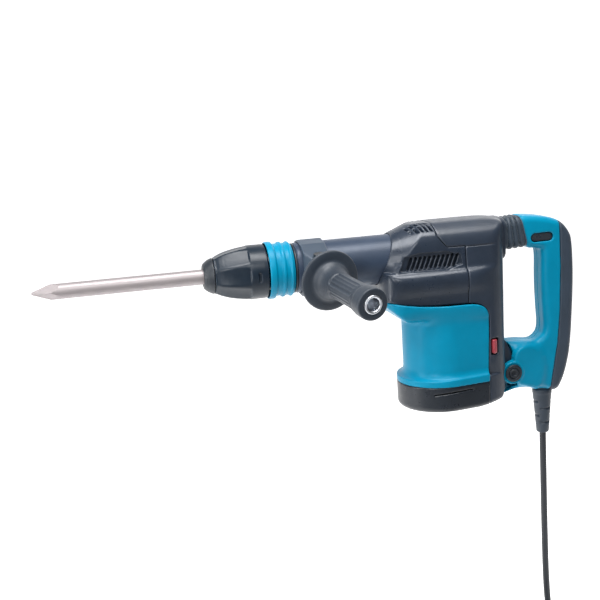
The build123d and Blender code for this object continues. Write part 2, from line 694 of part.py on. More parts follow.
def housing_screws():
    """Four cap screws that clamp the gear plate to the motor housing."""
    screws = []
    for x, y in PLATE_SCREWS:
        for side in (-1, 1):
            shank = rod_z(2.5, -74, PLATE_Z1, x=x, y=side * y)
            head = rod_z(SCREW_HEAD_R, PLATE_Z1 + 0.05, PLATE_Z1 + 4, x=x, y=side * y)
            screws.append(shank + rod_z(2.5, PLATE_Z1 - 1, PLATE_Z1 + 1, x=x, y=side * y) + head)
    return screws


def base_screws():
    """Three screws that hold the bottom cover, heads sunk in its underside."""
    screws = []
    for x, y in BASE_SCREWS:
        screw = rod_z(SCREW_R, BASE_Z + 2, -149, x=x, y=y)
        screws.append(screw + rod_z(SCREW_HEAD_R, BASE_Z + 0.4, BASE_Z + 3.1, x=x, y=y))
    return screws


# ---------------------------------------------------------------- side handle
def clamp_band():
    """Band around the barrel with two ears that grip the knuckle."""
    section = [(-54, 19), (-40, 21), (-22, 33), (-8, 37), (8, 37), (24, 29), (35, 14), (37, 0),
               (35, -14), (24, -29), (8, -37), (-8, -37), (-22, -33), (-40, -21), (-54, -19)]
    body = cross_section(section, BAND_X0, BAND_X1)
    bevel = Pos(BAND_X0, -58, 0) * Rot(0, 0, -28) * Box(34, 22, 90)
    body -= Pos(-10, 0, 0) * bevel
    body -= rod_x(BARREL_R + 0.25, -10, 40)
    body -= block(-10, 60, -70, -PIVOT_R + 12, -11, 11) & rod_z(15.5, -11, 11, x=PIVOT_X, y=-PIVOT_R)
    body -= block(-10, 60, -70, -PIVOT_R, -11, 11)
    body -= block(-10, 60, -36, -20, -1.2, 1.2)
    body -= rod_z(4.1, -40, 40, x=PIVOT_X, y=-PIVOT_R)
    body -= rod_z(8.0, 21.0, 45, x=PIVOT_X, y=-PIVOT_R)
    body -= rod_z(11.4, -45, -21.0, x=PIVOT_X, y=-PIVOT_R)
    return swung(body)


def knuckle_block():
    """Serrated block that tilts between the ears and carries the grip."""
    body = rod_z(10.5, -10.7, 10.7) + block(-9, 9, -17, 0, -10.7, 10.7)
    body += rod_y(13, -23.0, -16)
    body -= rod_z(4.1, -12, 12)
    return tilted(body)


def clamp_bolt():
    """Bolt through the ears and the knuckle, head on top."""
    body = rod_z(4, -30.5, 21.5) + rod_z(7.5, 21.2, 26.2)
    return swung(Pos(PIVOT_X, -PIVOT_R, 0) * body)


def clamp_nut():
    """Lobed nut under the ears that locks swing and tilt together."""
    body = rod_z(8.2, -30, -21.3)
    for i in range(6):
        body += Rot(0, 0, 60 * i) * rod_z(2.6, -29.5, -22, x=8.2)
    body -= rod_z(4.1, -40, 0)
    return swung(Pos(PIVOT_X, -PIVOT_R, 0) * body)


def grip_core():
    """Steel tube inside the side grip, seen at its open end."""
    body = rod_y(10.6, -GRIP_END - 0.4, -23.2) - rod_y(7.4, -GRIP_END - 1, -45)
    return tilted(body)


def side_grip():
    """Rubber grip with a round hand guard, ribs along it and an end collar."""
    profile = [(10.8, -23.4), (FLANGE_R - 1.5, -22.6), (FLANGE_R, -24.5), (FLANGE_R - 1.5, -27.0),
               (22, -29.5), (18.2, -36), (16.0, -44), (15.6, -104), (17.2, -112), (18.2, -114),
               (18.2, -GRIP_END + 1.5), (16.8, -GRIP_END), (10.8, -GRIP_END)]
    outline = Polyline(*[(r, y, 0) for r, y in profile], close=True)
    body = revolve(make_face(outline), Axis.Y)
    for i in range(10):
        rib = block(-1.6, 1.6, -103, -46, 15, 16.9)
        body += Rot(0, 36 * i, 0) * rib
    return tilted(body)


# ---------------------------------------------------------------- rear handle
HANDLE_OUTER = [(288.5, -3), (288.5, 37), (314.5, 35), (331, 30.5), (341, 23.5), (348, 13), (351.8, 0),
                (352.5, -34), (351.2, -73.5), (347.2, -134), (340.4, -164), (331, -186.5), (318, -188.5),
                (296, -188.5), (285, -182), (272, -175), (272, -140), (278, -124.5), (299, -123),
                (306.5, -110), (303.6, -68), (304.8, -10), (303, -3)]
RUBBER_LINE = [(331, 45), (331, -30), (328.8, -88.7), (325.1, -128), (321.6, -146), (314.5, -200)]


def handle_solid():
    """The whole rear handle before it is divided: grip, upper arm, lower arm and ears."""
    body = side_plate(HANDLE_OUTER, -HANDLE_HALF_Y, HANDLE_HALF_Y)
    body = soften(body, body.edges().filter_by(Plane.XZ), 7)
    arm_y = EAR_OUTER_Y - 0.5
    arm = side_plate([(262, -143), (280, -139), (280, -177), (264, -170.5)], -arm_y, arm_y)
    ears = rod_y(EAR_R, -EAR_OUTER_Y, EAR_OUTER_Y, x=PIVOT_PIN_X, z=PIVOT_PIN_Z) + arm
    shoulder_line = [(276, -141), (290, -130), (300, -150), (296, -184), (284, -181), (276, -176)]
    shoulder = side_plate(shoulder_line, -22.5, 22.5)
    shoulder = soften(shoulder, shoulder.edges().filter_by(Plane.XZ), 5)
    body += ears + shoulder
    half_gap = LOBE_HALF_Y + 0.6
    body -= rod_y(PIVOT_LOBE_R + 1.0, -half_gap, half_gap, x=PIVOT_PIN_X, z=PIVOT_PIN_Z)
    body -= rod_y(5.02, -40, 40, x=PIVOT_PIN_X, z=PIVOT_PIN_Z)
    body -= rod_z(10.4, -200, -178, x=GUARD_X)
    for x, z in HANDLE_SCREWS:
        body -= rod_y(HANDLE_SCREW_R + 0.1, -8.5, 12, x=x, z=z)
        body -= rod_y(HANDLE_HEAD_R + 0.2, 9.8, 40, x=x, z=z)
    return body


def handle_cavity():
    """Space inside the handle for the switch, its wires and the cord."""
    room = block(292, 326, -13, 13, 1.5, 29) + block(313.5, 325, -10, 10, -180, 2)
    room += rod_x(6.5, 284, 293, z=SPRING_Z)
    room += block(300, 320, -10, 10, -186, -130)
    return room


def rubber_side(grow):
    """Half space behind the line where the rubber grip starts."""
    line = [(x + grow, z) for x, z in RUBBER_LINE]
    return side_plate(line + [(400, -200), (400, 45)], -40, 40)


def handle_shell(side):
    """One moulded half of the rear handle."""
    body = handle_solid() - rubber_side(-SHELL_GAP) - handle_cavity()
    low, high = (0.1, 60) if side > 0 else (-60, -0.1)
    body = body & block(240, 370, low, high, -230, 60)
    slot = block(SWITCH_X - 10.2, SWITCH_X + 10.2, -40, 40, SWITCH_Z - 5.2, SWITCH_Z + 5.2)
    body -= slot
    for x in (SWITCH_X - 9.5, SWITCH_X + 9.5):
        body -= rod_y(5.2, -40, 40, x=x, z=SWITCH_Z)
    return body


def handle_rubber():
    """Soft rear face of the grip."""
    return handle_solid() & rubber_side(SHELL_GAP / 2)


def bellows_block(x, half_length, height, width, corner):
    """A rounded block across the bellows' axis."""
    section = RectangleRounded(height, width, corner)
    return Pos(x, 0, SPRING_Z) * Rot(0, 90, 0) * extrude(section, half_length, both=True)


def handle_bellows():
    """Rubber bellows over the spring between housing and upper arm."""
    ribs = []
    for i, x in enumerate((254.5, 263, 271.5, 280)):
        ribs.append(bellows_block(x + 3.6, 3.4, 42 - 1.2 * i, 38, 12))
    core = bellows_block(271, 16.8, 35, 31, 10)
    hollow = bellows_block(271, 20, 30, 26, 8)
    body = core
    for rib in ribs:
        body += rib
    return body - hollow


def damper_spring():
    """Compression spring that carries the hand's push on the handle."""
    return coil_spring(9.0, 1.3, 253.8, 286.9, 5, z=SPRING_Z)


def damper_rod():
    """Guide rod fixed in the housing; it slides in the handle's upper arm."""
    return rod_x(4.0, 244, 285.5, z=SPRING_Z) + rod_x(11.5, 244, 248.2, z=SPRING_Z)


def pivot_pin():
    """Steel pin of the rear handle's lower joint."""
    return rod_y(5.0, -25.0, 25.0, x=PIVOT_PIN_X, z=PIVOT_PIN_Z)


def pivot_caps():
    """Two rubber caps over the pivot's ends."""
    caps = []
    for side in (-1, 1):
        low, high = sorted((side * (EAR_OUTER_Y + 0.1), side * (EAR_OUTER_Y + 2.4)))
        ring = rod_y(9.2, low, high) - rod_y(4.6, low - 1, high + 1)
        core = rod_y(4.9, *sorted((side * (EAR_OUTER_Y + 0.1), side * (EAR_OUTER_Y + 1.2))))
        caps.append(Pos(PIVOT_PIN_X, 0, PIVOT_PIN_Z) * (ring + core))
    return caps


def switch_body():
    """Switch block above the lever."""
    return block(294, 322, -9.5, 9.5, 17.2, 27.5)


def switch_lever():
    """Lever that is pushed through the arm from side to side."""
    y0 = -HANDLE_HALF_Y + 0.8
    y1 = HANDLE_HALF_Y + 6.5
    body = block(SWITCH_X - 9, SWITCH_X + 9, y0, y1, SWITCH_Z - 4.4, SWITCH_Z + 4.4)
    for x in (SWITCH_X - 9, SWITCH_X + 9):
        body += rod_y(4.4, y0, y1, x=x, z=SWITCH_Z)
    return body


def handle_screws():
    """Screws that hold the two halves of the handle together."""
    screws = []
    for x, z in HANDLE_SCREWS:
        shank = rod_y(HANDLE_SCREW_R, -8, 10.5, x=x, z=z)
        screws.append(shank + rod_y(HANDLE_HEAD_R, 10, 12.5, x=x, z=z))
    return screws


# ---------------------------------------------------------------- cord
def cord_guard():
    """Ribbed rubber strain relief, wide in the handle and narrow at the cord."""
    profile = [(CORD_R + 0.1, GUARD_TOP_Z), (10.2, GUARD_TOP_Z), (10.2, -188.9), (12.6, -189.1),
               (12.6, -194), (8.6, -246), (7.6, GUARD_END_Z), (CORD_R + 0.1, GUARD_END_Z)]
    body = turned_z(profile, x=GUARD_X)
    body += rod_z(CORD_R + 0.3, GUARD_END_Z, GUARD_END_Z + 4, x=GUARD_X)
    return body


def cord_radii():
    """Bend radius at each corner of the route."""
    points = [Vector(*p) for p in CORD_ROUTE]
    radii = []
    for before, here, after in zip(points, points[1:], points[2:]):
        first = here - before
        second = after - here
        turn = math.radians(first.get_angle(second))
        radii.append(0.45 * min(first.length, second.length) / math.tan(turn / 2))
    return radii


def supply_cord():
    """The cord from its guard down to the coil."""
    path = FilletPolyline(*CORD_ROUTE, radius=cord_radii())
    wire = Plane(origin=path @ 0, z_dir=path % 0) * Circle(CORD_R)
    return sweep(wire, path)


def cord_coil():
    """Outer shape of the tied coil that holds the rest of the cord."""
    x, y = COIL_CENTRE
    low = FLOOR_Z
    high = FLOOR_Z + COIL_HEIGHT
    r0 = COIL_MEAN_R - COIL_HALF_WIDTH
    r1 = COIL_MEAN_R + COIL_HALF_WIDTH
    corner = 4.0
    return turned_z([(r0, low + corner), (r0 + corner, low), (r1 - corner, low), (r1, low + corner),
                     (r1, high - corner), (r1 - corner, high), (r0 + corner, high),
                     (r0, high - corner)], x=x, y=y)


def cord_tie():
    """Strap round the coil, drawn through its own slot on top."""
    x, y = COIL_CENTRE
    mid = y + COIL_MEAN_R
    low = FLOOR_Z + 0.6
    high = FLOOR_Z + COIL_HEIGHT + 1.6
    y0 = mid - COIL_HALF_WIDTH - 2.2
    y1 = mid + COIL_HALF_WIDTH + 2.2
    body = block(x - 6, x + 6, y0, y1, high - 1.4, high)
    body += block(x - 6, x + 6, y0, y0 + 1.4, low, high)
    body += block(x - 6, x + 6, y1 - 1.4, y1, low, high)
    body += block(x - 8.5, x + 8.5, mid - 5, mid + 5, high, high + 2.2)
    return body


def plug_placed(shape):
    """Lay a piece of the plug, drawn along +X from its face, on top of the coil."""
    x, y = PLUG_AT
    lean = math.degrees(math.atan2(PLUG_R - PLUG_REAR_R, PLUG_LENGTH - 2.5))
    slant = math.radians(lean)
    height = FLOOR_Z + COIL_HEIGHT + 0.02 + PLUG_R * math.cos(slant) + 2.5 * math.sin(slant)
    return Pos(x, y, height) * Rot(0, 0, PLUG_TURN) * Rot(0, lean, 0) * shape


def plug_body():
    """Round moulded two-pin plug that lies on the coil."""
    body = turned([(0, 0), (0, PLUG_R), (2.5, PLUG_R), (9, 17.2), (20, 14.0), (34, 9.4),
                   (PLUG_LENGTH, PLUG_REAR_R), (PLUG_LENGTH, 0)])
    return plug_placed(body)


def plug_pins():
    """Two round contact pins."""
    pins = []
    for side in (-1, 1):
        pin = rod_x(PLUG_PIN_R, -PLUG_PIN_LENGTH, 0, y=side * PLUG_PIN_SPACING / 2)
        pins.append(plug_placed(pin))
    return pins


def main():
    """Build every part, move it to the grip's frame and write it."""
    os.makedirs("parts", exist_ok=True)
    parts = build_parts()
    for name, shape in parts.items():
        solids = shape if isinstance(shape, list) else [shape]
        moved = [Pos(-GRIP_X, 0, -GRIP_Z) * s for s in solids]
        export_step(Compound(children=moved) if len(moved) > 1 else moved[0], f"parts/{name}.step")
    print("cord radii", [round(r, 1) for r in cord_radii()])
    cord = parts["supply_cord"]
    length = FilletPolyline(*CORD_ROUTE, radius=cord_radii()).length
    ratio = cord.volume / (math.pi * CORD_R ** 2 * length)
    print("cord tube", round(length, 1), "volume ratio", round(ratio, 4))


def build_parts():
    """Every node's name and shape in the working frame."""
    return {
        "chisel_bit": chisel_bit(),
        "nose_cap": nose_cap(),
        "tool_holder": tool_holder(),
        "locking_lug_upper": locking_lug(1),
        "locking_lug_lower": locking_lug(-1),
        "release_cover": release_cover(),
        "release_spring": release_spring(),
        "change_ring": change_ring(),
        "barrel_seal": barrel_seal(),
        "barrel_housing": barrel_housing(),
        "impact_bolt": impact_bolt(),
        "cylinder": cylinder(),
        "striker": striker(),
        "piston": piston(),
        "piston_pin": piston_pin(),
        "connecting_rod": connecting_rod(),
        "crank_shaft": crank_shaft(),
        "crank_gear": crank_gear(),
        "crank_bearings": crank_bearings(),
        "armature": armature(),
        "cooling_fan": cooling_fan(),
        "armature_bearings": armature_bearings(),
        "field_core": field_core(),
        "brush_holders": brush_pair(17.5, 31.4, 5.2, 4.4, hollow=1.2),
        "carbon_brushes": brush_pair(14.3, 27, 3.8, 3.0),
        "gear_housing": gear_housing(),
        "rear_cover": rear_cover(),
        "bearing_plate": bearing_plate(),
        "motor_housing": motor_housing(),
        "bottom_cover": bottom_cover(),
        "speed_dial": speed_dial(),
        "dial_shaft": dial_shaft(),
        "control_board": control_board(),
        "indicator_lamp": indicator_lamp(),
        "housing_screws": housing_screws(),
        "base_screws": base_screws(),
        "clamp_band": clamp_band(),
        "knuckle_block": knuckle_block(),
        "clamp_bolt": clamp_bolt(),
        "clamp_nut": clamp_nut(),
        "grip_core": grip_core(),
        "side_grip": side_grip(),
        "handle_shell_left": handle_shell(-1),
        "handle_shell_right": handle_shell(1),
        "handle_rubber": handle_rubber(),
        "handle_bellows": handle_bellows(),
        "damper_spring": damper_spring(),
        "damper_rod": damper_rod(),
        "pivot_pin": pivot_pin(),
        "pivot_caps": pivot_caps(),
        "switch_body": switch_body(),
        "switch_lever": switch_lever(),
        "handle_screws": handle_screws(),
        "cord_guard": cord_guard(),
        "supply_cord": supply_cord(),
        "cord_coil": cord_coil(),
        "cord_tie": cord_tie(),
        "plug_body": plug_body(),
        "plug_pins": plug_pins(),
    }


if __name__ == "__main__":
    main()
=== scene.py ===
import json
import math
from functools import reduce

import bpy
import numpy as np
from mathutils import Matrix, Vector


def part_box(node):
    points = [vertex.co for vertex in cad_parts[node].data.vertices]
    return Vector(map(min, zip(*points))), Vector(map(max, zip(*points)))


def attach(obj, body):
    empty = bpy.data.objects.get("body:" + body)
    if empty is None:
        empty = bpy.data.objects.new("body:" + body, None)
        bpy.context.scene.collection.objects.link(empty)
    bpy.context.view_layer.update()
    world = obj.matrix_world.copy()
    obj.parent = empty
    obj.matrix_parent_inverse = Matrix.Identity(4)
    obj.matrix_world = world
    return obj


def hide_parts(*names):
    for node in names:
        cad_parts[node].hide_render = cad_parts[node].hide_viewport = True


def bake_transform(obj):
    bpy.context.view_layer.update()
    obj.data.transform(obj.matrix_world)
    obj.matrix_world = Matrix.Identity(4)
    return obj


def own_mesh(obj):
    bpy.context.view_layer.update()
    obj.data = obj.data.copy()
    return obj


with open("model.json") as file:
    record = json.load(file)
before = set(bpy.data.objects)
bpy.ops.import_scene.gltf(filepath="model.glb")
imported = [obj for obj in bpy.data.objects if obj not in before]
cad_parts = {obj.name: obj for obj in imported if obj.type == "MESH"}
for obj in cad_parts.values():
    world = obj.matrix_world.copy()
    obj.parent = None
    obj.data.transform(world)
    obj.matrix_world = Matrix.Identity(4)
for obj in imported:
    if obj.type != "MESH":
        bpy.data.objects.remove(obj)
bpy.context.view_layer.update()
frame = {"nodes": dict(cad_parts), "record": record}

MM = 0.001

# The shapes below are drawn in millimetres about the tool axis. X runs from the chisel to the rear handle,
# and X = 0 is 1 mm in front of the side handle's clamp band.
BAND_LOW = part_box("clamp_band")[0]
HOLDER_LOW, HOLDER_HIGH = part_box("tool_holder")
AXIS_ORIGIN = Vector((BAND_LOW[0] - MM, 0.0, (HOLDER_LOW[2] + HOLDER_HIGH[2]) / 2))


def place(x, y, z):
    """A point of the working drawing, in metres of the frame."""
    return AXIS_ORIGIN + Vector((x, y, z)) * MM


def new_object(name, data):
    """An object in the scene."""
    made = bpy.data.objects.new(name, data)
    bpy.context.collection.objects.link(made)
    return made


# ------------ camera
AZIMUTH = math.radians(12.0)
ELEVATION = math.radians(11.0)
ROLL = math.radians(3.77)
DISTANCE = 1.1991
DROP = 0.0393


def make_camera():
    """The camera stands to the operator's left, a little ahead of the tool and above it."""
    ahead = Vector((math.sin(AZIMUTH) * math.cos(ELEVATION), math.cos(AZIMUTH) * math.cos(ELEVATION),
                    -math.sin(ELEVATION)))
    level = Vector((math.cos(AZIMUTH), -math.sin(AZIMUTH), 0.0))
    upright = level.cross(ahead)
    right = math.cos(ROLL) * level - math.sin(ROLL) * upright
    up = math.sin(ROLL) * level + math.cos(ROLL) * upright
    data = bpy.data.cameras.new("camera")
    data.sensor_width = 36.0
    data.lens = 60.0
    data.clip_start = 0.05
    camera = new_object("camera", data)
    at = AXIS_ORIGIN - ahead * DISTANCE - up * DROP
    turn = Matrix((right, up, -ahead)).transposed()
    camera.matrix_world = Matrix.Translation(at) @ turn.to_4x4()
    bpy.context.scene.camera = camera


make_camera()

# ------------ supply cord
CORD_R = 4.25
CORD_ROUTE = [
    (310.0, 0.0, -248.0), (310.0, 0.0, -316.0), (310.8, 1.6, -392.0), (312.2, 3.0, -460.0),
    (312.0, -4.0, -506.5), (311.0, -29.0, -531.0), (309.6, -70.0, -535.7)
]
COIL_X, COIL_Y = 241.8, -75.0
COIL_RADII = (68.25, 59.75, 51.25)
COIL_FLOOR = -535.75
COIL_RISE = 8.5
COIL_LAYERS = 4
TURN_POINTS = 16
COIL_START = math.radians(-23.3)
CLIMB = [
    (-24, 68.5, -510.2), (-46, 69.0, -508.5), (-68, 69.0, -504.0), (-90, 67.0, -501.75),
    (-112, 65.0, -501.75), (-134, 62.0, -501.75), (-156, 60.0, -501.75), (-178, 59.0, -501.75),
    (-200, 58.0, -501.75), (-222, 57.5, -501.75), (-244, 57.5, -501.75), (-266, 57.5, -501.75),
    (-288, 57.8, -501.75), (-310, 58.6, -501.75), (-332, 59.6, -501.75), (-354, 60.5, -501.75),
    (-376, 61.5, -501.6), (-398, 63.0, -501.3)
]
PLUG_REAR = (266.0, -129.4, -500.6)


def coil_points():
    """Four layers of three turns, wound inwards and outwards by turns."""
    bulge = 1 / (0.75 + 0.25 * math.cos(2 * math.pi / TURN_POINTS))
    points = []
    across = len(COIL_RADII)
    for k in range(across * COIL_LAYERS * TURN_POINTS):
        turn = k / TURN_POINTS
        layer = int(turn // across)
        within = turn - across * layer
        step = min(int(within), across - 1)
        ease = max(0.0, (within - step) * 4 - 3)
        order = COIL_RADII if layer % 2 == 0 else COIL_RADII[::-1]
        after = order[min(step + 1, across - 1)]
        radius = order[step] + (after - order[step]) * ease
        lift = ease if step == across - 1 and layer < COIL_LAYERS - 1 else 0.0
        height = COIL_FLOOR + COIL_RISE * (layer + lift)
        angle = COIL_START - 2 * math.pi * turn
        reach = bulge * radius
        points.append((COIL_X + reach * math.cos(angle), COIL_Y + reach * math.sin(angle), height))
    return points


def climb_points():
    """From the last turn up on top of the coil and into the plug's rear."""
    points = []
    for degrees, radius, height in CLIMB:
        angle = math.radians(degrees)
        points.append((COIL_X + radius * math.cos(angle), COIL_Y + radius * math.sin(angle), height))
    points.append((281.5, -126.2, -501.2))
    points.append(PLUG_REAR)
    points.append((258.0, -130.3, -498.4))
    return points


def make_cord():
    """The cord as one spline: down from the guard, round the coil and into the plug."""
    points = CORD_ROUTE + coil_points() + climb_points()
    data = bpy.data.curves.new("mains_cord", "CURVE")
    data.dimensions = "3D"
    spline = data.splines.new("NURBS")
    spline.points.add(len(points) - 1)
    for point, at in zip(spline.points, points):
        point.co = (*place(*at), 1.0)
        point.radius = CORD_R * MM
    spline.order_u = 3
    spline.use_endpoint_u = True
    spline.resolution_u = 4
    data.bevel_depth = 1.0        # times each point's radius, by which a curve's box grows
    data.bevel_resolution = 4
    data.use_fill_caps = True
    cord = new_object("mains_cord", data)
    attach(cord, "rear_handle")
    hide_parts("supply_cord", "cord_coil")
    return cord


cord_piece = make_cord()


# ------------ materials
def math_node(tree, kind, first, second=None):
    """A Math node on one or two inputs, which may be sockets or numbers."""
    node = tree.nodes.new("ShaderNodeMath")
    node.operation = kind
    for socket, value in zip(node.inputs, (first, second)):
        if value is None:
            continue
        if isinstance(value, (int, float)):
            socket.default_value = value
        else:
            tree.links.new(value, socket)
    return node.outputs[0]


def noise_node(tree, coordinate, per_mm, detail=3.0, roughness=0.55, stretch=None):
    """Noise with the given number of cells per millimetre."""
    mapping = tree.nodes.new("ShaderNodeMapping")
    factor = per_mm / MM
    scale = stretch or (1.0, 1.0, 1.0)
    mapping.inputs["Scale"].default_value = [factor * s for s in scale]
    tree.links.new(coordinate, mapping.inputs["Vector"])
    node = tree.nodes.new("ShaderNodeTexNoise")
    node.inputs["Scale"].default_value = 1.0
    node.inputs["Detail"].default_value = detail
    node.inputs["Roughness"].default_value = roughness
    tree.links.new(mapping.outputs["Vector"], node.inputs["Vector"])
    return node.outputs["Fac"]


def remap(tree, value, low, high, to_low, to_high):
    """A clamped Map Range."""
    node = tree.nodes.new("ShaderNodeMapRange")
    tree.links.new(value, node.inputs["Value"])
    for name, number in (("From Min", low), ("From Max", high), ("To Min", to_low), ("To Max", to_high)):
        node.inputs[name].default_value = number
    return node.outputs["Result"]


def mix_colour(tree, factor, first, second):
    """A colour mix; each colour is a socket or an RGB triple."""
    node = tree.nodes.new("ShaderNodeMix")
    node.data_type = "RGBA"
    tree.links.new(factor, node.inputs["Factor"])
    for socket, value in ((node.inputs[6], first), (node.inputs[7], second)):
        if isinstance(value, (tuple, list)):
            socket.default_value = (*value[:3], 1.0)
        else:
            tree.links.new(value, socket)
    return node.outputs[2]


def shade(colour, factor):
    """A colour made lighter or darker."""
    return tuple(min(1.0, c * factor) for c in colour)


def linear(red, green, blue):
    """A colour given as 0 to 255 display values."""
    def one(value):
        value /= 255
        return value / 12.92 if value <= 0.04045 else ((value + 0.055) / 1.055) ** 2.4
    return (one(red), one(green), one(blue))


def new_material(name):
    """A material with its node tree, its shader and the coordinates of the object that wears it."""
    material = bpy.data.materials.new(name)
    material.use_nodes = True
    tree = material.node_tree
    coordinate = tree.nodes.new("ShaderNodeTexCoord").outputs["Object"]
    return material, tree, tree.nodes["Principled BSDF"], coordinate


def surface(name, colour, rough, metallic=0.0, spread=0.06, mottling=0.10, grain_per_mm=1.4,
            grain_depth=0.02, wave_depth=0.05, worn=None, wear=0.0, brushed=None, round_mm=0.0, coat=0.0,
            specular=0.5, scuffs=0.0, sheen=0.0):
    """A procedural material: colour clouds, uneven gloss, grain, slight waviness, worn edges and scuffs."""
    colour = linear(*colour)
    material, tree, shader, coordinate = new_material(name)
    for socket, value in (("Metallic", metallic), ("Specular IOR Level", specular), ("Coat Weight", coat),
                          ("Coat Roughness", 0.12), ("Sheen Weight", sheen), ("Sheen Roughness", 0.4)):
        shader.inputs[socket].default_value = value
    clouds = noise_node(tree, coordinate, 0.035, 4.0)
    tone = remap(tree, clouds, 0.3, 0.7, 0.0, 1.0)
    base = mix_colour(tree, tone, shade(colour, 1 - mottling), shade(colour, 1 + mottling))
    patches = noise_node(tree, coordinate, 0.11, 5.0, 0.65)
    gloss = remap(tree, patches, 0.3, 0.7, rough - spread, rough + spread)
    if scuffs:
        streaks = noise_node(tree, coordinate, 0.22, 6.0, 0.7, stretch=(0.25, 1.0, 1.6))
        mask = remap(tree, streaks, 0.60, 0.72, 0.0, scuffs)
        base = mix_colour(tree, mask, base, shade(colour, 1.7))
        gloss = math_node(tree, "ADD", gloss, math_node(tree, "MULTIPLY", mask, 0.25))
    if wear:
        edge = tree.nodes.new("ShaderNodeNewGeometry").outputs["Pointiness"]
        ragged = math_node(tree, "MULTIPLY", math_node(tree, "SUBTRACT", patches, 0.5), 0.05)
        broken = math_node(tree, "ADD", edge, ragged)
        mask = remap(tree, broken, 0.530, 0.580, 0.0, wear)
        base = mix_colour(tree, mask, base, linear(*worn))
    height = math_node(tree, "MULTIPLY", noise_node(tree, coordinate, grain_per_mm, 2.0), grain_depth * MM)
    waves = math_node(tree, "MULTIPLY", noise_node(tree, coordinate, 0.05, 1.0), wave_depth * MM)
    height = math_node(tree, "ADD", height, waves)
    if brushed:
        lines = noise_node(tree, coordinate, 1.0, 3.0, 0.6, stretch=brushed)
        height = math_node(tree, "ADD", height, math_node(tree, "MULTIPLY", lines, 0.012 * MM))
        gloss = math_node(tree, "ADD", gloss, remap(tree, lines, 0.3, 0.7, -0.06, 0.06))
        base = mix_colour(tree, remap(tree, lines, 0.35, 0.65, 0.0, 1.0), base, shade(colour, 0.93))
    bump = tree.nodes.new("ShaderNodeBump")
    bump.inputs["Distance"].default_value = 1.0
    bump.inputs["Strength"].default_value = 1.0
    tree.links.new(height, bump.inputs["Height"])
    if round_mm:
        bevel = tree.nodes.new("ShaderNodeBevel")
        bevel.samples = 4
        bevel.inputs["Radius"].default_value = round_mm * MM
        tree.links.new(bevel.outputs["Normal"], bump.inputs["Normal"])
    tree.links.new(bump.outputs["Normal"], shader.inputs["Normal"])
    tree.links.new(base, shader.inputs["Base Color"])
    tree.links.new(gloss, shader.inputs["Roughness"])
    return material


TEAL = (0, 128, 162)
HOUSING = (38, 47, 60)
BARREL = (50, 62, 80)
CHUCK = (21, 33, 45)
RUBBER = (34, 43, 54)
BLACK = (26, 32, 40)

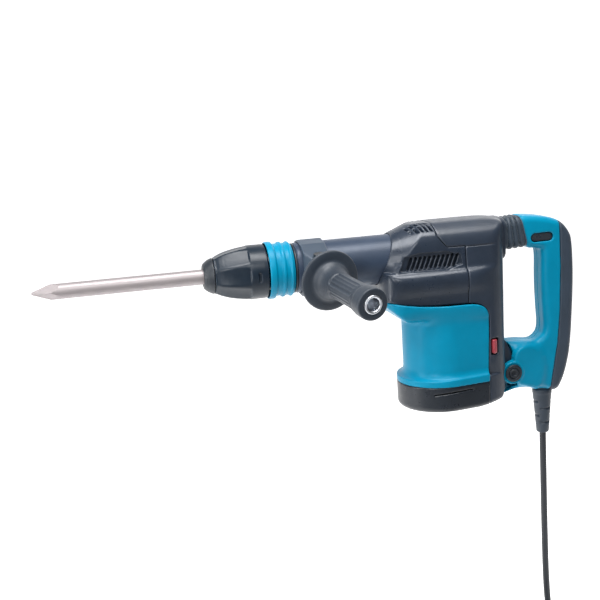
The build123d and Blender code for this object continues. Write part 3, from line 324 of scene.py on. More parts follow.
FINISHES = {
    "bit_steel": dict(colour=(156, 149, 150), rough=0.46, metallic=0.55, brushed=(0.06, 1.6, 1.6),
        grain_depth=0.006, mottling=0.05, spread=0.07, scuffs=0.25),
    "machined_steel": dict(colour=(176, 178, 182), rough=0.26, metallic=1.0, grain_depth=0.004,
        wave_depth=0.01, brushed=(0.3, 1.5, 1.5), round_mm=0.3),
    "spring_steel": dict(colour=(120, 120, 126), rough=0.32, metallic=1.0, grain_depth=0.004),
    "screw_steel": dict(colour=(74, 76, 80), rough=0.36, metallic=1.0, grain_depth=0.006, round_mm=0.3),
    "bright_steel": dict(colour=(232, 236, 242), rough=0.3, metallic=1.0, grain_depth=0.003,
        wave_depth=0.01, mottling=0.03, spread=0.04),
    "laminated_steel": dict(colour=(92, 84, 80), rough=0.5, metallic=0.8, brushed=(0.1, 0.1, 1.4)),
    "cast_aluminium": dict(colour=(186, 188, 192), rough=0.42, metallic=1.0, grain_depth=0.05,
        round_mm=0.4),
    "barrel_paint": dict(colour=BARREL, rough=0.38, metallic=0.1, spread=0.05, grain_per_mm=1.1,
        grain_depth=0.01, wave_depth=0.04, specular=0.4, scuffs=0.12, round_mm=0.5),
    "housing_paint": dict(colour=HOUSING, rough=0.31, metallic=0.1, grain_per_mm=1.2, grain_depth=0.012,
        coat=0.08, wear=0.35, worn=(120, 128, 140), scuffs=0.1),
    "housing_plastic": dict(colour=HOUSING, rough=0.36, grain_per_mm=1.6, grain_depth=0.016, wear=0.3,
        worn=(110, 118, 130), scuffs=0.1),
    "clamp_plastic": dict(colour=(54, 66, 80), rough=0.42, grain_per_mm=1.8, grain_depth=0.022, wear=0.3,
        worn=(110, 118, 130), scuffs=0.12),
    "chuck_plastic": dict(colour=CHUCK, rough=0.34, spread=0.05, grain_depth=0.008, wave_depth=0.03,
        specular=0.38, wear=0.45, worn=(120, 134, 152), scuffs=0.15),
    "black_plastic": dict(colour=BLACK, rough=0.31, grain_per_mm=1.6, grain_depth=0.005, wear=0.12,
        worn=(96, 104, 112), scuffs=0.12),
    "inner_plastic": dict(colour=(40, 40, 42), rough=0.5, grain_depth=0.02, round_mm=0.4),
    "teal_plastic": dict(colour=TEAL, rough=0.34, spread=0.05, mottling=0.06, grain_per_mm=1.5,
        grain_depth=0.012, specular=0.17, wear=0.25, worn=(60, 176, 206), scuffs=0.04),
    "black_rubber": dict(colour=(27, 34, 42), rough=0.44, grain_per_mm=1.8, grain_depth=0.03, wear=0.2,
        worn=(86, 92, 100), round_mm=0.4),
    "grip_rubber": dict(colour=RUBBER, rough=0.46, grain_per_mm=1.8, grain_depth=0.028, wear=0.35,
        worn=(112, 124, 136), sheen=0.1),
    "handle_rubber": dict(colour=(46, 58, 72), rough=0.52, grain_per_mm=1.3, grain_depth=0.05, wear=0.2,
        worn=(90, 102, 116), sheen=0.1),
    "bellows_rubber": dict(colour=(44, 56, 68), rough=0.48, grain_per_mm=1.6, grain_depth=0.03, wear=0.4,
        worn=(110, 122, 136), sheen=0.1),
    "guard_rubber": dict(colour=(44, 54, 66), rough=0.46, grain_per_mm=1.6, grain_depth=0.025, wear=0.25,
        worn=(90, 100, 112), sheen=0.1, round_mm=0.3),
    "cord_rubber": dict(colour=(36, 40, 46), rough=0.52, grain_per_mm=2.4, grain_depth=0.02),
    "red_lens": dict(colour=(160, 62, 72), rough=0.22, mottling=0.05, grain_depth=0.01, coat=0.6,
        round_mm=0.6),
    "brass": dict(colour=(214, 176, 96), rough=0.3, metallic=1.0, round_mm=0.3),
    "brass_plated": dict(colour=(220, 212, 190), rough=0.22, metallic=1.0, round_mm=0.3),
    "carbon": dict(colour=(52, 52, 54), rough=0.6),
}
LOOKS = {name: surface(name, **finish) for name, finish in FINISHES.items()}


def dress_frame():
    """Gives every CAD node its slot's material."""
    for part in frame["record"]["subparts"]:
        node = frame["nodes"][part["node"]]
        look = LOOKS[part["material_slot"]]
        if not node.data.materials:
            node.data.materials.append(look)
        for index in range(len(node.data.materials)):
            node.data.materials[index] = look


dress_frame()
cord_piece.data.materials.append(LOOKS["cord_rubber"])


# ------------ mesh tools
def mesh_piece(name, points, quads, look, body, replaced):
    """A smooth mesh object from points in millimetres and faces, riding on a body unless that is None."""
    metres = np.asarray(points, np.float32) * MM + np.array(AXIS_ORIGIN, np.float32)
    mesh = bpy.data.meshes.new(name)
    quads = np.asarray(quads, np.int32)
    mesh.vertices.add(len(metres))
    mesh.vertices.foreach_set("co", metres.ravel())
    mesh.loops.add(quads.size)
    mesh.loops.foreach_set("vertex_index", quads.ravel())
    mesh.polygons.add(len(quads))
    mesh.polygons.foreach_set("loop_start", np.arange(0, quads.size, quads.shape[1], dtype=np.int32))
    mesh.update(calc_edges=True)
    mesh.validate()
    mesh.polygons.foreach_set("use_smooth", np.ones(len(mesh.polygons), bool))
    mesh.materials.append(LOOKS[look])
    piece = new_object(name, mesh)
    if body:
        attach(piece, body)
    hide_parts(*replaced)
    return piece


def rounded(points, times=2, closed=True):
    """Cuts the corners of an outline a few times, so that they turn smoothly."""
    points = np.asarray(points, float)
    for _ in range(times):
        following = np.roll(points, -1, axis=0) if closed else points[1:]
        here = points if closed else points[:-1]
        first = here * 0.75 + following * 0.25
        second = here * 0.25 + following * 0.75
        cut = np.stack([first, second], 1).reshape(-1, points.shape[1])
        points = cut if closed else np.vstack([points[:1], cut, points[-1:]])
    return points


def spaced(points, gap):
    """Adds points to an outline until no side is longer than gap."""
    result = []
    for here, after in zip(points, np.roll(points, -1, axis=0)):
        parts = max(1, int(math.ceil(np.linalg.norm(after - here) / gap)))
        for k in range(parts):
            result.append(here + (after - here) * k / parts)
    return np.array(result)


def lathe(profile, segments, shape=None):
    """Points and quads of a closed (along, radius) profile turned about X; shape may change the radius."""
    profile = np.asarray(profile, float)
    turn = np.linspace(0, 2 * math.pi, segments, endpoint=False)
    along = np.repeat(profile[:, :1], segments, 1)
    radius = np.repeat(profile[:, 1:], segments, 1)
    angle = np.repeat(turn[None, :], len(profile), 0)
    if shape:
        radius = shape(along, radius, angle)
    points = np.stack([along, -radius * np.sin(angle), radius * np.cos(angle)], -1).reshape(-1, 3)
    rows = np.arange(len(profile))
    columns = np.arange(segments)
    a = rows[:, None] * segments + columns[None, :]
    b = rows[:, None] * segments + (columns[None, :] + 1) % segments
    c = ((rows[:, None] + 1) % len(profile)) * segments + (columns[None, :] + 1) % segments
    d = ((rows[:, None] + 1) % len(profile)) * segments + columns[None, :]
    quads = np.stack([a, b, c, d], -1).reshape(-1, 4)
    area = np.sum(profile[:, 0] * np.roll(profile[:, 1], -1) - np.roll(profile[:, 0], -1) * profile[:, 1])
    return points, quads if area < 0 else quads[:, ::-1]


# ------------ distance fields
class Grid:
    """A box of sample points in millimetres, kept as three broadcastable axes."""

    def __init__(self, low, high, step):
        self.step = step
        self.axes = [np.arange(a - 2.5 * step, b + 3 * step, step, dtype=np.float32)
                     for a, b in zip(low, high)]
        self.x = self.axes[0][:, None, None]
        self.y = self.axes[1][None, :, None]
        self.z = self.axes[2][None, None, :]


def overlap(*fields):
    """Where all the solids are, with sharp edges."""
    return reduce(np.maximum, fields)


def union(*fields):
    """Where any of the solids is, with sharp edges."""
    return reduce(np.minimum, fields)


def join(a, b, k):
    """Smooth union over k millimetres."""
    h = np.clip(0.5 + 0.5 * (b - a) / k, 0, 1)
    return b + (a - b) * h - k * h * (1 - h)


def meet(a, b, k):
    """Smooth intersection over k millimetres."""
    h = np.clip(0.5 - 0.5 * (b - a) / k, 0, 1)
    return b + (a - b) * h + k * h * (1 - h)


def carve(a, b, k):
    """a with b cut out, its edges rounded over k millimetres."""
    return meet(a, -b, k)


def outline(points, u, v):
    """Signed distance to a closed outline in a plane, negative inside."""
    u, v = np.broadcast_arrays(u, v)
    nearest = np.full(u.shape, 1e9, np.float32)
    inside = np.zeros(u.shape, bool)
    ax, ay = points[-1]
    for bx, by in points:
        ex, ey = bx - ax, by - ay
        t = np.clip(((u - ax) * ex + (v - ay) * ey) / (ex * ex + ey * ey + 1e-12), 0, 1)
        nearest = np.minimum(nearest, (u - ax - t * ex) ** 2 + (v - ay - t * ey) ** 2)
        if ay != by:
            inside ^= ((ay > v) != (by > v)) & (u < (bx - ax) * (v - ay) / (by - ay) + ax)
        ax, ay = bx, by
    return (np.where(inside, -1, 1) * np.sqrt(nearest)).astype(np.float32)


def slab(value, low, high):
    """Distance to the layer between two limits."""
    return np.abs(value - (low + high) / 2) - (high - low) / 2


def disc(u, v, cu, cv, radius):
    """Distance to a round bar seen end on."""
    return np.hypot(u - cu, v - cv) - radius


def oblong(u, v, cu, cv, half_u, half_v, corner, turn=0.0):
    """Distance to a bar with a rounded rectangular section, turned by some degrees."""
    c, s = math.cos(math.radians(turn)), math.sin(math.radians(turn))
    a = np.abs((u - cu) * c + (v - cv) * s) - half_u + corner
    b = np.abs(-(u - cu) * s + (v - cv) * c) - half_v + corner
    return np.hypot(np.maximum(a, 0), np.maximum(b, 0)) + np.minimum(np.maximum(a, b), 0) - corner


def extruded(flat, across, corner):
    """A solid from a plane field and the distance across it, with rounded rims."""
    a = flat + corner
    b = across + corner
    return np.hypot(np.maximum(a, 0), np.maximum(b, 0)) + np.minimum(np.maximum(a, b), 0) - corner


def net(values, grid):
    """Points and outward quads of the surface where values change sign."""
    inside = values < 0
    corners = [(i, j, k) for i in (0, 1) for j in (0, 1) for k in (0, 1)]
    size = np.array(values.shape) - 1
    count = np.zeros(size, np.int8)
    for i, j, k in corners:
        count += inside[i:i + size[0], j:j + size[1], k:k + size[2]]
    mixed = (count > 0) & (count < 8)
    cells = np.argwhere(mixed)
    number = np.full(size, -1, np.int64)
    number[mixed] = np.arange(len(cells))
    total = np.zeros((len(cells), 3), np.float32)
    hits = np.zeros(len(cells), np.float32)
    for low in corners:
        for axis in range(3):
            if low[axis]:
                continue
            high = list(low)
            high[axis] = 1
            at_low = values[tuple((cells + low).T)]
            at_high = values[tuple((cells + high).T)]
            crossing = (at_low < 0) != (at_high < 0)
            t = at_low[crossing] / (at_low[crossing] - at_high[crossing])
            spot = np.repeat(np.array(low, np.float32)[None], len(t), 0)
            spot[:, axis] += t
            total[crossing] += spot
            hits[crossing] += 1
    start = np.array([axis[0] for axis in grid.axes], np.float32)
    points = start + (cells + total / hits[:, None]) * grid.step
    quads = []
    for axis in range(3):
        near = [slice(1, -1)] * 3
        far = [slice(1, -1)] * 3
        near[axis] = slice(0, -1)
        far[axis] = slice(1, None)
        low, high = inside[tuple(near)], inside[tuple(far)]
        change = np.argwhere(low != high)
        outward = low[tuple(change.T)]
        base = change + 1
        base[:, axis] -= 1
        e = np.eye(3, dtype=int)[(axis + 1) % 3]
        f = np.eye(3, dtype=int)[(axis + 2) % 3]
        ring = np.stack([number[tuple((base - shift).T)] for shift in (0 * e, e, e + f, f)], 1)
        ring[~outward] = ring[~outward][:, ::-1]
        quads.append(ring)
    return points, np.concatenate(quads)


def field_piece(name, values, grid, look, body, replaced):
    """A mesh piece on the surface of a field."""
    points, quads = net(values.astype(np.float32), grid)
    return mesh_piece(name, points, quads, look, body, replaced)


# ------------ housing shapes
WALL = 3.4
GAP = 0.3
SEAM_EDGE = 1.2
SIDE = rounded([
    (111.0, 30), (114.5, 35), (122, 38.6), (135, 41.2), (150, 42.0), (187, 42.4), (222, 42.2), (240, 40.8),
    (250, 37), (252, 30), (252, 0), (250.5, -40), (248.8, -80), (248.2, -112), (249, -157), (250, -175),
    (96, -175), (96, -55), (92.5, -42), (91.0, -28), (93.5, -14), (103.5, 8)
], 2)
HALF = [
    (0, 42.6), (16, 42.2), (21, 41.0), (33.5, 32.0), (38.6, 24), (40.6, 12), (41.4, -8), (42.2, -13.5),
    (46.2, -16.5), (49.6, -21.5), (50.9, -27.5), (50.2, -34), (47.4, -40.5), (45.9, -45), (45.4, -60),
    (44.6, -180)
]
SECTION = rounded(HALF + [(-y, z) for y, z in reversed(HALF)][:-1], 2)
PLAN = [
    (89.5, -20), (91.5, -31), (97, -42), (106, -49.5), (118, -51.2), (196, -51.2), (222, -46.2),
    (240, -37.5), (249, -28), (252.2, -17)
]
PLAN = rounded(PLAN + [(x, -y) for x, y in reversed(PLAN)], 2)
SPLIT = [
    (60, -46), (96, -46.5), (112, -50.5), (136, -54.5), (160, -56.5), (190, -57), (204, -58.2),
    (213, -61.5), (219, -67.5), (221.8, -76), (222, -90), (220.5, -120), (219.5, -148), (219, -158)
]
PIVOT_X, PIVOT_Z = 259.2, -156.5
LOBE_SWELL = rounded([
    (225, -102), (247, -102), (250.5, -111), (256.0, -120.5), (261, -131), (263.5, -141), (262, -152),
    (225, -157)
], 2)
BASE_SCREWS = [(133.5, 0), (190, 39), (190, -39)]


def teal_region(grid):
    """Distance to the side area that the motor housing fills, below and in front of the dark shells."""
    loop = rounded(SPLIT, 1, closed=False)
    loop = np.vstack([loop, [(219, -260), (0, -260), (0, -46)]])
    return outline(loop, grid.x, grid.z)


def plan_egg(front_x, front_r, rear_x, half_rear, steps=80):
    """A round-fronted outline that narrows straight to its rear."""
    run = rear_x - front_x
    turn = math.acos(front_r / math.hypot(run, half_rear)) + math.atan2(half_rear, run)
    arc = [turn + (2 * math.pi - 2 * turn) * k / steps for k in range(steps + 1)]
    loop = [(front_x + front_r * math.cos(a), front_r * math.sin(a)) for a in arc]
    return loop + [(rear_x, -half_rear), (rear_x, half_rear)]


def upper_field(grid):
    """The gear and rear housing as one envelope."""
    body = meet(outline(SIDE, grid.x, grid.z), outline(SECTION, grid.y, grid.z), 3.0)
    return meet(body, outline(PLAN, grid.x, grid.y), 4.0)


def hollow(envelope):
    """A shell inside an envelope."""
    return overlap(envelope, -(envelope + WALL))


def rear_region(grid):
    """Distance to the part of the upper envelope that belongs to the rear cover."""
    loop = [(195.3, -200), (195.3, 12.4), (173.0, 12.9), (170.2, 15.0), (161.6, 26.5), (158.0, 50.0),
            (158.0, 90), (300, 90), (300, -200)]
    return outline(loop, grid.x, grid.z)


def gear_housing():
    """Cast housing with a ribbed side recess, vents on top and the collar round the barrel."""
    grid = Grid((90, -52, -59), (196.5, 52, 43.5), 0.75)
    x, y, z = grid.x, grid.y, grid.z
    body = upper_field(grid)
    side_y = np.abs(y)
    recess = outline(rounded([(121, 9.0), (188, 7.6), (191, -14.0), (112, -13.0), (114, -5)], 1), x, z)
    body = carve(body, meet(recess, 37.8 - side_y, 1.0), 1.0)
    rise = 0.48 + 0.042 * np.maximum(0, -z)
    cone = (np.hypot(y, z) - 31.6 - rise * (x - 100.3 - 0.36 * z)) * 0.88
    body = meet(body, join(cone, z + 13.0, 2.0), 1.0)
    shell = hollow(body)
    backing = union(overlap(slab(side_y, 25, 39), slab(x, 114, 192), slab(z, -15, 10)),
                    overlap(slab(z, 25, 40), slab(x, 122, 162), side_y - 34))
    shell = union(shell, overlap(backing, body + 1.2))
    collar = meet(disc(y, z, 0, 0, 38.5), body, 0.6)
    shell = join(shell, overlap(collar, slab(x, 80, 117)), 1.0)
    slots = np.full(np.broadcast(x, y, z).shape, 1e3, np.float32)
    for i in range(11):
        flat = oblong(x, z, 125.0 + 5.8 * i, -3.4, 2.0, 8.4, 1.6, -22)
        slots = union(slots, overlap(flat, 32.0 - side_y))
    for centre, half in ((16.5, 4.2), (27.0, 4.6)):
        for i in range(5):
            flat = oblong(x - 0.32 * (side_y - 20), side_y, 130.5 + 5.7 * i, centre, 1.8, half, 1.5)
            slots = union(slots, overlap(flat, 30.8 - z))
    shell = carve(shell, slots, 0.5)
    shell = overlap(shell, -disc(y, z, 0, 0, 30.35) + 0 * x)
    web = overlap(slab(z, -29, -22), slab(x, 118, 164), body + 1.5)
    shell = union(shell, overlap(web, 15.1 - np.hypot(x - 141, y)))
    shell = overlap(shell, 35.5 - np.hypot(x - 141, y) - 60 * (slab(z, -44, -32) > 0))
    shell = carve(shell, teal_region(grid) - GAP, SEAM_EDGE)
    shell = carve(shell, rear_region(grid) - GAP, SEAM_EDGE)
    field_piece("gear_housing_shell", shell, grid, "housing_paint", "housing", ["gear_housing"])


def base_envelope(grid, plan):
    """Rounded block of the base below the motor; its floor rises a little towards the rear."""
    lift = np.clip((grid.x - 205) / 50, 0, 1) * 5.0
    body = extruded(plan, slab(grid.z - lift * (grid.z < -170), -189, -120), 6.5)
    return meet(body, (grid.x - 244.5) * 0.94 + (-174.0 - grid.z) * 0.34, 2.0)


def rear_cover():
    """Rear housing: top, back wall, column down to the floor of the base and the lobe of the lower pivot."""
    grid = Grid((154, -52, -190), (283, 52, 43.5), 1.0)
    x, y, z = grid.x, grid.y, grid.z
    side_y = np.abs(y)
    body = overlap(upper_field(grid), -156.9 - z)
    foot = base_envelope(grid, outline(PLAN, x, y))
    body = union(body, overlap(foot, z + 150, 210 - x))
    socket = meet(oblong(y, z, 0, 13.5, 22, 26, 11), x - 255.6, 1.5)
    body = join(body, overlap(socket, 240 - x), 3.0)
    line = slab(z, 11.4, 12.0)
    body = overlap(body, -overlap(line, 38.6 - side_y, slab(x, 195, 234)))
    shell = hollow(body)
    swell = union(disc(x, z, PIVOT_X, PIVOT_Z, 20.0), outline(LOBE_SWELL, x, z))
    lobe = extruded(swell, side_y - 18.0, 2.0)
    lobe = overlap(lobe, -156.9 - z)
    shell = join(shell, overlap(lobe, 229 - x), 2.5)
    shell = overlap(shell, x - 281)
    ears = overlap(disc(x, z, PIVOT_X, PIVOT_Z, 15.9), 18.05 - side_y)
    shell = carve(shell, ears, 0.5)
    shell = overlap(shell, 5.1 - np.hypot(x - PIVOT_X, z - PIVOT_Z))
    dial = overlap(disc(x, z, 243.5, -20, 15.4), side_y - 5.1, 226 - x)
    shell = carve(shell, dial, 0.6)
    shell = overlap(shell, 4.2 - np.hypot(y, z - 17) - 100 * (x < 246))
    lamp = overlap(oblong(x, z, 228.5, -115.0, 5.8, 10.6, 2.2), 30 - side_y)
    shell = carve(shell, overlap(lamp, y), 0.8)
    shell = carve(shell, teal_region(grid) - GAP, SEAM_EDGE)
    seam = rear_region(grid)
    tongue = overlap(body + WALL + 0.2, -(body + WALL + 1.8), seam - 3.0, -44 - z)
    shell = union(meet(shell, seam + GAP, SEAM_EDGE), overlap(tongue, x - 240))
    field_piece("rear_cover_shell", shell, grid, "housing_plastic", "housing", ["rear_cover"])


def with_bosses(shell, body, grid, radius, height):
    """The shell with a drilled boss for each of the base's screws, inside the body."""
    for screw_x, screw_y in BASE_SCREWS:
        boss = overlap(disc(grid.x, grid.y, screw_x, screw_y, radius), height)
        shell = union(shell, overlap(boss, body + 1.0))
        shell = overlap(shell, 2.3 - np.hypot(grid.x - screw_x, grid.y - screw_y))
    return shell


def motor_housing():
    """Motor shell with its chin, the band under the dark shoulder, the round waist and the flared skirt."""
    grid = Grid((94, -54, -158), (223, 54, -44), 1.0)
    x, y, z = grid.x, grid.y, grid.z
    cut = 222                     # the motor housing ends here
    chin = overlap(outline(PLAN, x, y) + 1.0, x - cut, slab(z, -75.0, 40))
    slope = (x - 98.0) * 0.68 + (z + 58) * 0.74
    side_slope = (50.0 - np.abs(y)) * 0.80 + (z + 66) * 0.60
    chin = meet(meet(chin, -slope + 1.0, 4.0), -side_slope, 5.0)
    waist = overlap(outline(plan_egg(174.5, 48.6, cut, 43.4), x, y), slab(z, -160, -20))
    skirt = overlap(outline(plan_egg(170.0, 52.8, cut, 46.4), x, y), slab(z, -170, -149.5))
    body = join(waist, chin, 9.0)
    body = join(body, skirt, 11.0)
    body = overlap(body, -156.75 - z)
    shell = hollow(body)
    shell = with_bosses(shell, body, grid, 6.4, slab(z, -160, -145.2))
    shell = carve(shell, -teal_region(grid) - GAP, SEAM_EDGE)
    field_piece("motor_shell", shell, grid, "teal_plastic", "housing", ["motor_housing"])


def bottom_cover():
    """Cover under the motor, up to the rear cover's foot, with grooved sides and screw wells."""
    grid = Grid((115, -54, -190), (221, 54, -155), 1.0)
    x, y, z = grid.x, grid.y, grid.z
    side_y = np.abs(y)
    body = base_envelope(grid, outline(plan_egg(170.0, 53.0, 222.0, 46.6), x, y))
    body = meet(overlap(body, z + 157.2), x - 218.7, SEAM_EDGE)
    bow = -163.6 - 0.0016 * (x - 178) ** 2 + 0.035 * (x - 178)
    groove = overlap(np.abs(z - bow) - 0.75, slab(x, 147, 197))
    body = carve(body, overlap(groove, 45.0 - side_y), 0.5)
    foot = oblong(x, y, 176, 0, 36, 30, 18)
    body = carve(body, overlap(foot, z + 188.0), 1.0)
    shell = hollow(body)
    shell = with_bosses(shell, body, grid, 6.0, slab(z, -188, -157.4))
    for screw_x, screw_y in BASE_SCREWS:
        shell = carve(shell, overlap(disc(x, y, screw_x, screw_y, 4.5), z + 185.8), 0.4)
    seat = overlap(disc(x, y, 180, 0, 15), slab(z, -188, -168))
    shell = union(shell, seat)
    shell = overlap(shell, -overlap(disc(x, y, 180, 0, 11.05), slab(z, -176.1, -150)))
    field_piece("base_shell", shell, grid, "black_plastic", "housing", ["bottom_cover"])


gear_housing()
rear_cover()
motor_housing()
bottom_cover()


# ------------ rear handle
HANDLE_SIDE = [
    (283.6, -2.4), (274.3, 39.4), (290, 38.8), (304, 37.0), (315, 35.0), (323, 32.6), (330, 29.8),
    (338, 24), (345, 14.5), (349, 5), (350.6, -34), (349.2, -74), (345.2, -134), (338.4, -164), (332, -180),
    (326, -189.5), (317, -190.5), (312, -187.5), (297, -185), (286, -179.5), (272, -181), (262, -183),
    (248.5, -187), (248.0, -184.6), (262, -178.5), (266, -172), (262, -150), (256, -121.5), (260, -118.8),
    (276, -121.0), (291, -123.0), (302, -119.5), (309.5, -110), (307.6, -82), (306.4, -44), (307.6, -9),
    (304.0, -3.4)
]
RUBBER_LINE = [
    (330.5, 60), (330.5, 18.7), (331, -29.7), (328.8, -88.7), (325.1, -128.2), (321.6, -146), (314.5, -186),
    (312, -210)
]
HANDLE_SCREWS = [(298.0, 31.0), (313.0, -60.0), (314.0, -106.0), (289.0, -152.0), (296.0, -176.5)]
SCREW_HEAD_Y = 14.2


def handle_fields(grid):
    """The whole handle, the line where its rubber starts, and both with their holes cut."""
    x, y, z = grid.x, grid.y, grid.z
    side_y = np.abs(y)
    body = extruded(outline(rounded(HANDLE_SIDE, 2), x, z), side_y - 17.2, 8.5)
    taper = 26.6 - np.clip((x - 268) / 34, 0, 1) * 8.5
    arm = outline(rounded([(261, -143.5), (262, -135), (267, -127.5), (277, -124.5), (289, -127),
                  (300, -136), (304, -160), (298, -183), (283, -177.5), (264, -171)], 1), x, z)
    arm = extruded(arm, side_y - taper, 2.5)
    ears = extruded(disc(x, z, PIVOT_X, PIVOT_Z, 14.5), side_y - 26.9, 1.6)
    body = join(body, join(arm, ears, 1.5), 12.0)
    swing_room = 0.9 + 0.042 * np.clip(z - PIVOT_Z, 0, 60)
    lobe = union(disc(x, z, PIVOT_X, PIVOT_Z, 20.9), outline(LOBE_SWELL, x, z) - swing_room)
    body = carve(body, overlap(lobe, side_y - 18.6), 0.8)
    cap_seat = overlap(disc(x, z, PIVOT_X, PIVOT_Z, 11.9), 26.2 - side_y)
    body = carve(body, cap_seat, 0.6)
    rubber = outline(RUBBER_LINE + [(420, -210), (420, 60)], x, z)
    hollow_space = overlap(body + 3.3, 2.2 - rubber)
    body = overlap(body, -hollow_space)
    body = overlap(body, 5.1 - np.hypot(x - PIVOT_X, z - PIVOT_Z))
    body = overlap(body, -overlap(disc(x, y, 310, 0, 10.6), z + 176))
    slot = oblong(x, z, 306.3, 10.2, 14.8, 5.5, 5.4, 1.0)
    body = carve(body, slot, 1.4)
    spring_hole = overlap(disc(y, z, 0, 17, 6.6), x - 296)
    body = overlap(body, -spring_hole)
    for screw_x, screw_z in HANDLE_SCREWS:
        well = overlap(disc(x, z, screw_x, screw_z, 3.3), SCREW_HEAD_Y - 2.2 - y)
        body = carve(body, well, 0.4)
    return body, rubber


def rear_handle():
    """Two moulded halves and the soft rear face, which meet in fine seams."""
    grid = Grid((243, -28, -192), (354.5, 28, 40), 1.0)
    body, rubber = handle_fields(grid)
    hard = carve(body, rubber - 0.35, 1.0)
    soft = meet(body, rubber + 0.35, 1.0)
    for name, side in (("left", 1), ("right", -1)):
        half = meet(hard, side * grid.y + 0.05, 0.2)
        field_piece("handle_half_" + name, half, grid, "teal_plastic", "rear_handle",
                    ["handle_shell_" + name])
    field_piece("handle_soft_grip", soft, grid, "handle_rubber", "rear_handle", ["handle_rubber"])


def bellows():
    """Folded rubber that follows the housing at one end and the handle at the other, longer at its foot."""
    grid = Grid((253.5, -23, -8), (287, 23, 42), 0.8)
    x, y, z = grid.x, grid.y, grid.z
    rear = 282.0 - 0.23 * (z - 17)
    along = (x - 254.2) / (rear - 254.2)
    fold = np.abs(np.sin(math.pi * (4 * along + 0.08)))
    swell = 3.5 * fold ** 0.7 - 2.7
    across = oblong(y, z, 0, 17.2 + 2.0 * along, 18.2, 19.6, 11.0) - swell
    body = overlap(across, -(across + 1.9))
    body = overlap(body, slab(x, 254.0, 290.0))
    body = overlap(body, (x - rear - 1.5) * 0.97)
    bellows_mesh = field_piece("bellows_folds", body, grid, "bellows_rubber", None, ["handle_bellows"])
    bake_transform(bellows_mesh)


def handle_screws():
    """Cheese heads with a round socket, all on the far side of the handle."""
    profile = [(-22.0, 0.05), (-22.0, 1.5), (-2.0, 1.6), (-2.0, 2.8), (-0.5, 2.85), (0.0, 2.4), (0.0, 1.5),
               (-1.2, 1.35), (-1.3, 0.05)]
    points, quads = lathe(spaced(np.array(profile), 0.6), 40)
    clouds, faces = [], []
    for number, (x, z) in enumerate(HANDLE_SCREWS):
        clouds.append(np.stack([x + points[:, 2], SCREW_HEAD_Y + points[:, 0], z + points[:, 1]], -1))
        faces.append(quads + number * len(points))
    mesh_piece("handle_screw_heads", np.concatenate(clouds), np.concatenate(faces), "screw_steel",
               "rear_handle", ["handle_screws"])


rear_handle()
handle_screws()
bellows()


# ------------ chuck, ring and barrel
COVER_OUTER = [
    (-105.0, 20.4), (-104.2, 21.9), (-99, 24.6), (-91, 27.6), (-82, 30.0), (-72, 31.6), (-63, 32.3),
    (-58, 32.3), (-44.2, 32.2), (-43.2, 31.2)
]
COVER_INNER = [
    (-43.2, 28.4), (-52, 28.4), (-63, 28.6), (-68, 27.6), (-68, 17.6), (-75.8, 17.1), (-90.3, 23.6),
    (-99, 21.0), (-105, 17.8)
]
FLAT_X = [-104.5, -99, -95, -91, -86, -82, -77, -72, -68, -64.5]
FLAT_R = [20.2, 23.0, 24.55, 25.8, 27.05, 27.85, 28.8, 29.6, 30.15, 30.6]
FLATS = 8
DUST_CAP = [
    (-117, 10.2), (-117.1, 14.2), (-116.6, 14.9), (-114.2, 17.2), (-113.6, 17.2), (-113.0, 18.0),
    (-110.5, 19.6), (-106.6, 21.2), (-105.6, 21.2), (-105.5, 15.3), (-112.3, 15.3), (-112.3, 9.7),
    (-116, 9.7)
]
ANGLE_RING = [
    (-42.0, 32.5), (-42.0, 33.4), (-41.2, 34.2), (-36.8, 34.3), (-34.4, 34.0), (-33.6, 32.0), (-32.6, 31.4),
    (-28.2, 31.3), (-27.0, 31.6), (-25.9, 33.1), (-23.2, 33.1), (-22.1, 31.6), (-20.9, 31.3), (-18.0, 31.3),
    (-16.9, 31.7), (-16.0, 32.9), (-14.2, 32.9), (-13.2, 31.4), (-11.6, 30.9), (-11.5, 26), (-26, 25),
    (-26, 18.8), (-30.6, 18.8), (-30.6, 32.4)
]
SEAL_RING = [
    (-10.9, 19.3), (-10.9, 28.4), (-10.2, 29.7), (-8.6, 29.7), (-8.2, 28.6), (-8.2, 24.2), (-10.3, 24.2),
    (-10.3, 19.3)
]


def cover_shape(along, radius, angle):
    """Eight long hollow-ground flats with a crisp rear end, and the small pointer slot."""
    step = 2 * math.pi / FLATS
    offset = (angle + step / 2) % step - step / 2
    flat_r = np.interp(along, FLAT_X, FLAT_R) / np.cos(offset)
    flat_r = flat_r + np.clip((along + 64.5) * 1.8, 0, 20) + np.clip((-103.2 - along) * 1.2, 0, 20)
    lean = 0.5 * np.maximum(0, 1 - (offset * flat_r / 9.0) ** 2) * np.clip((along + 103) / 10, 0, 1)
    outside = radius > np.interp(along, [-105, -91, -82, -43], [19.2, 25.0, 27.0, 30.0])
    cut = join(radius, flat_r - lean * (along < -65), 0.5)
    arc = (angle - math.pi / 2 - 0.03) * radius
    pointer = oblong(along, arc, -54.2, 2.0, 1.7, 5.6, 1.5)
    cut = cut - 2.0 * np.clip(0.5 - pointer / 0.8, 0, 1)
    return np.where(outside, cut, radius)


def release_cover():
    """Sliding sleeve of the chuck."""
    profile = spaced(rounded(COVER_OUTER + COVER_INNER, 1), 0.7)
    points, quads = lathe(profile, 240, cover_shape)
    mesh_piece("sliding_sleeve", points, quads, "chuck_plastic", "release_cover", ["release_cover"])


def turned_piece(name, profile, look, body, replaced, cuts=1):
    """A turned piece with softly rounded corners."""
    points, quads = lathe(spaced(rounded(profile, cuts), 0.9), 128)
    mesh_piece(name, points, quads, look, body, replaced)


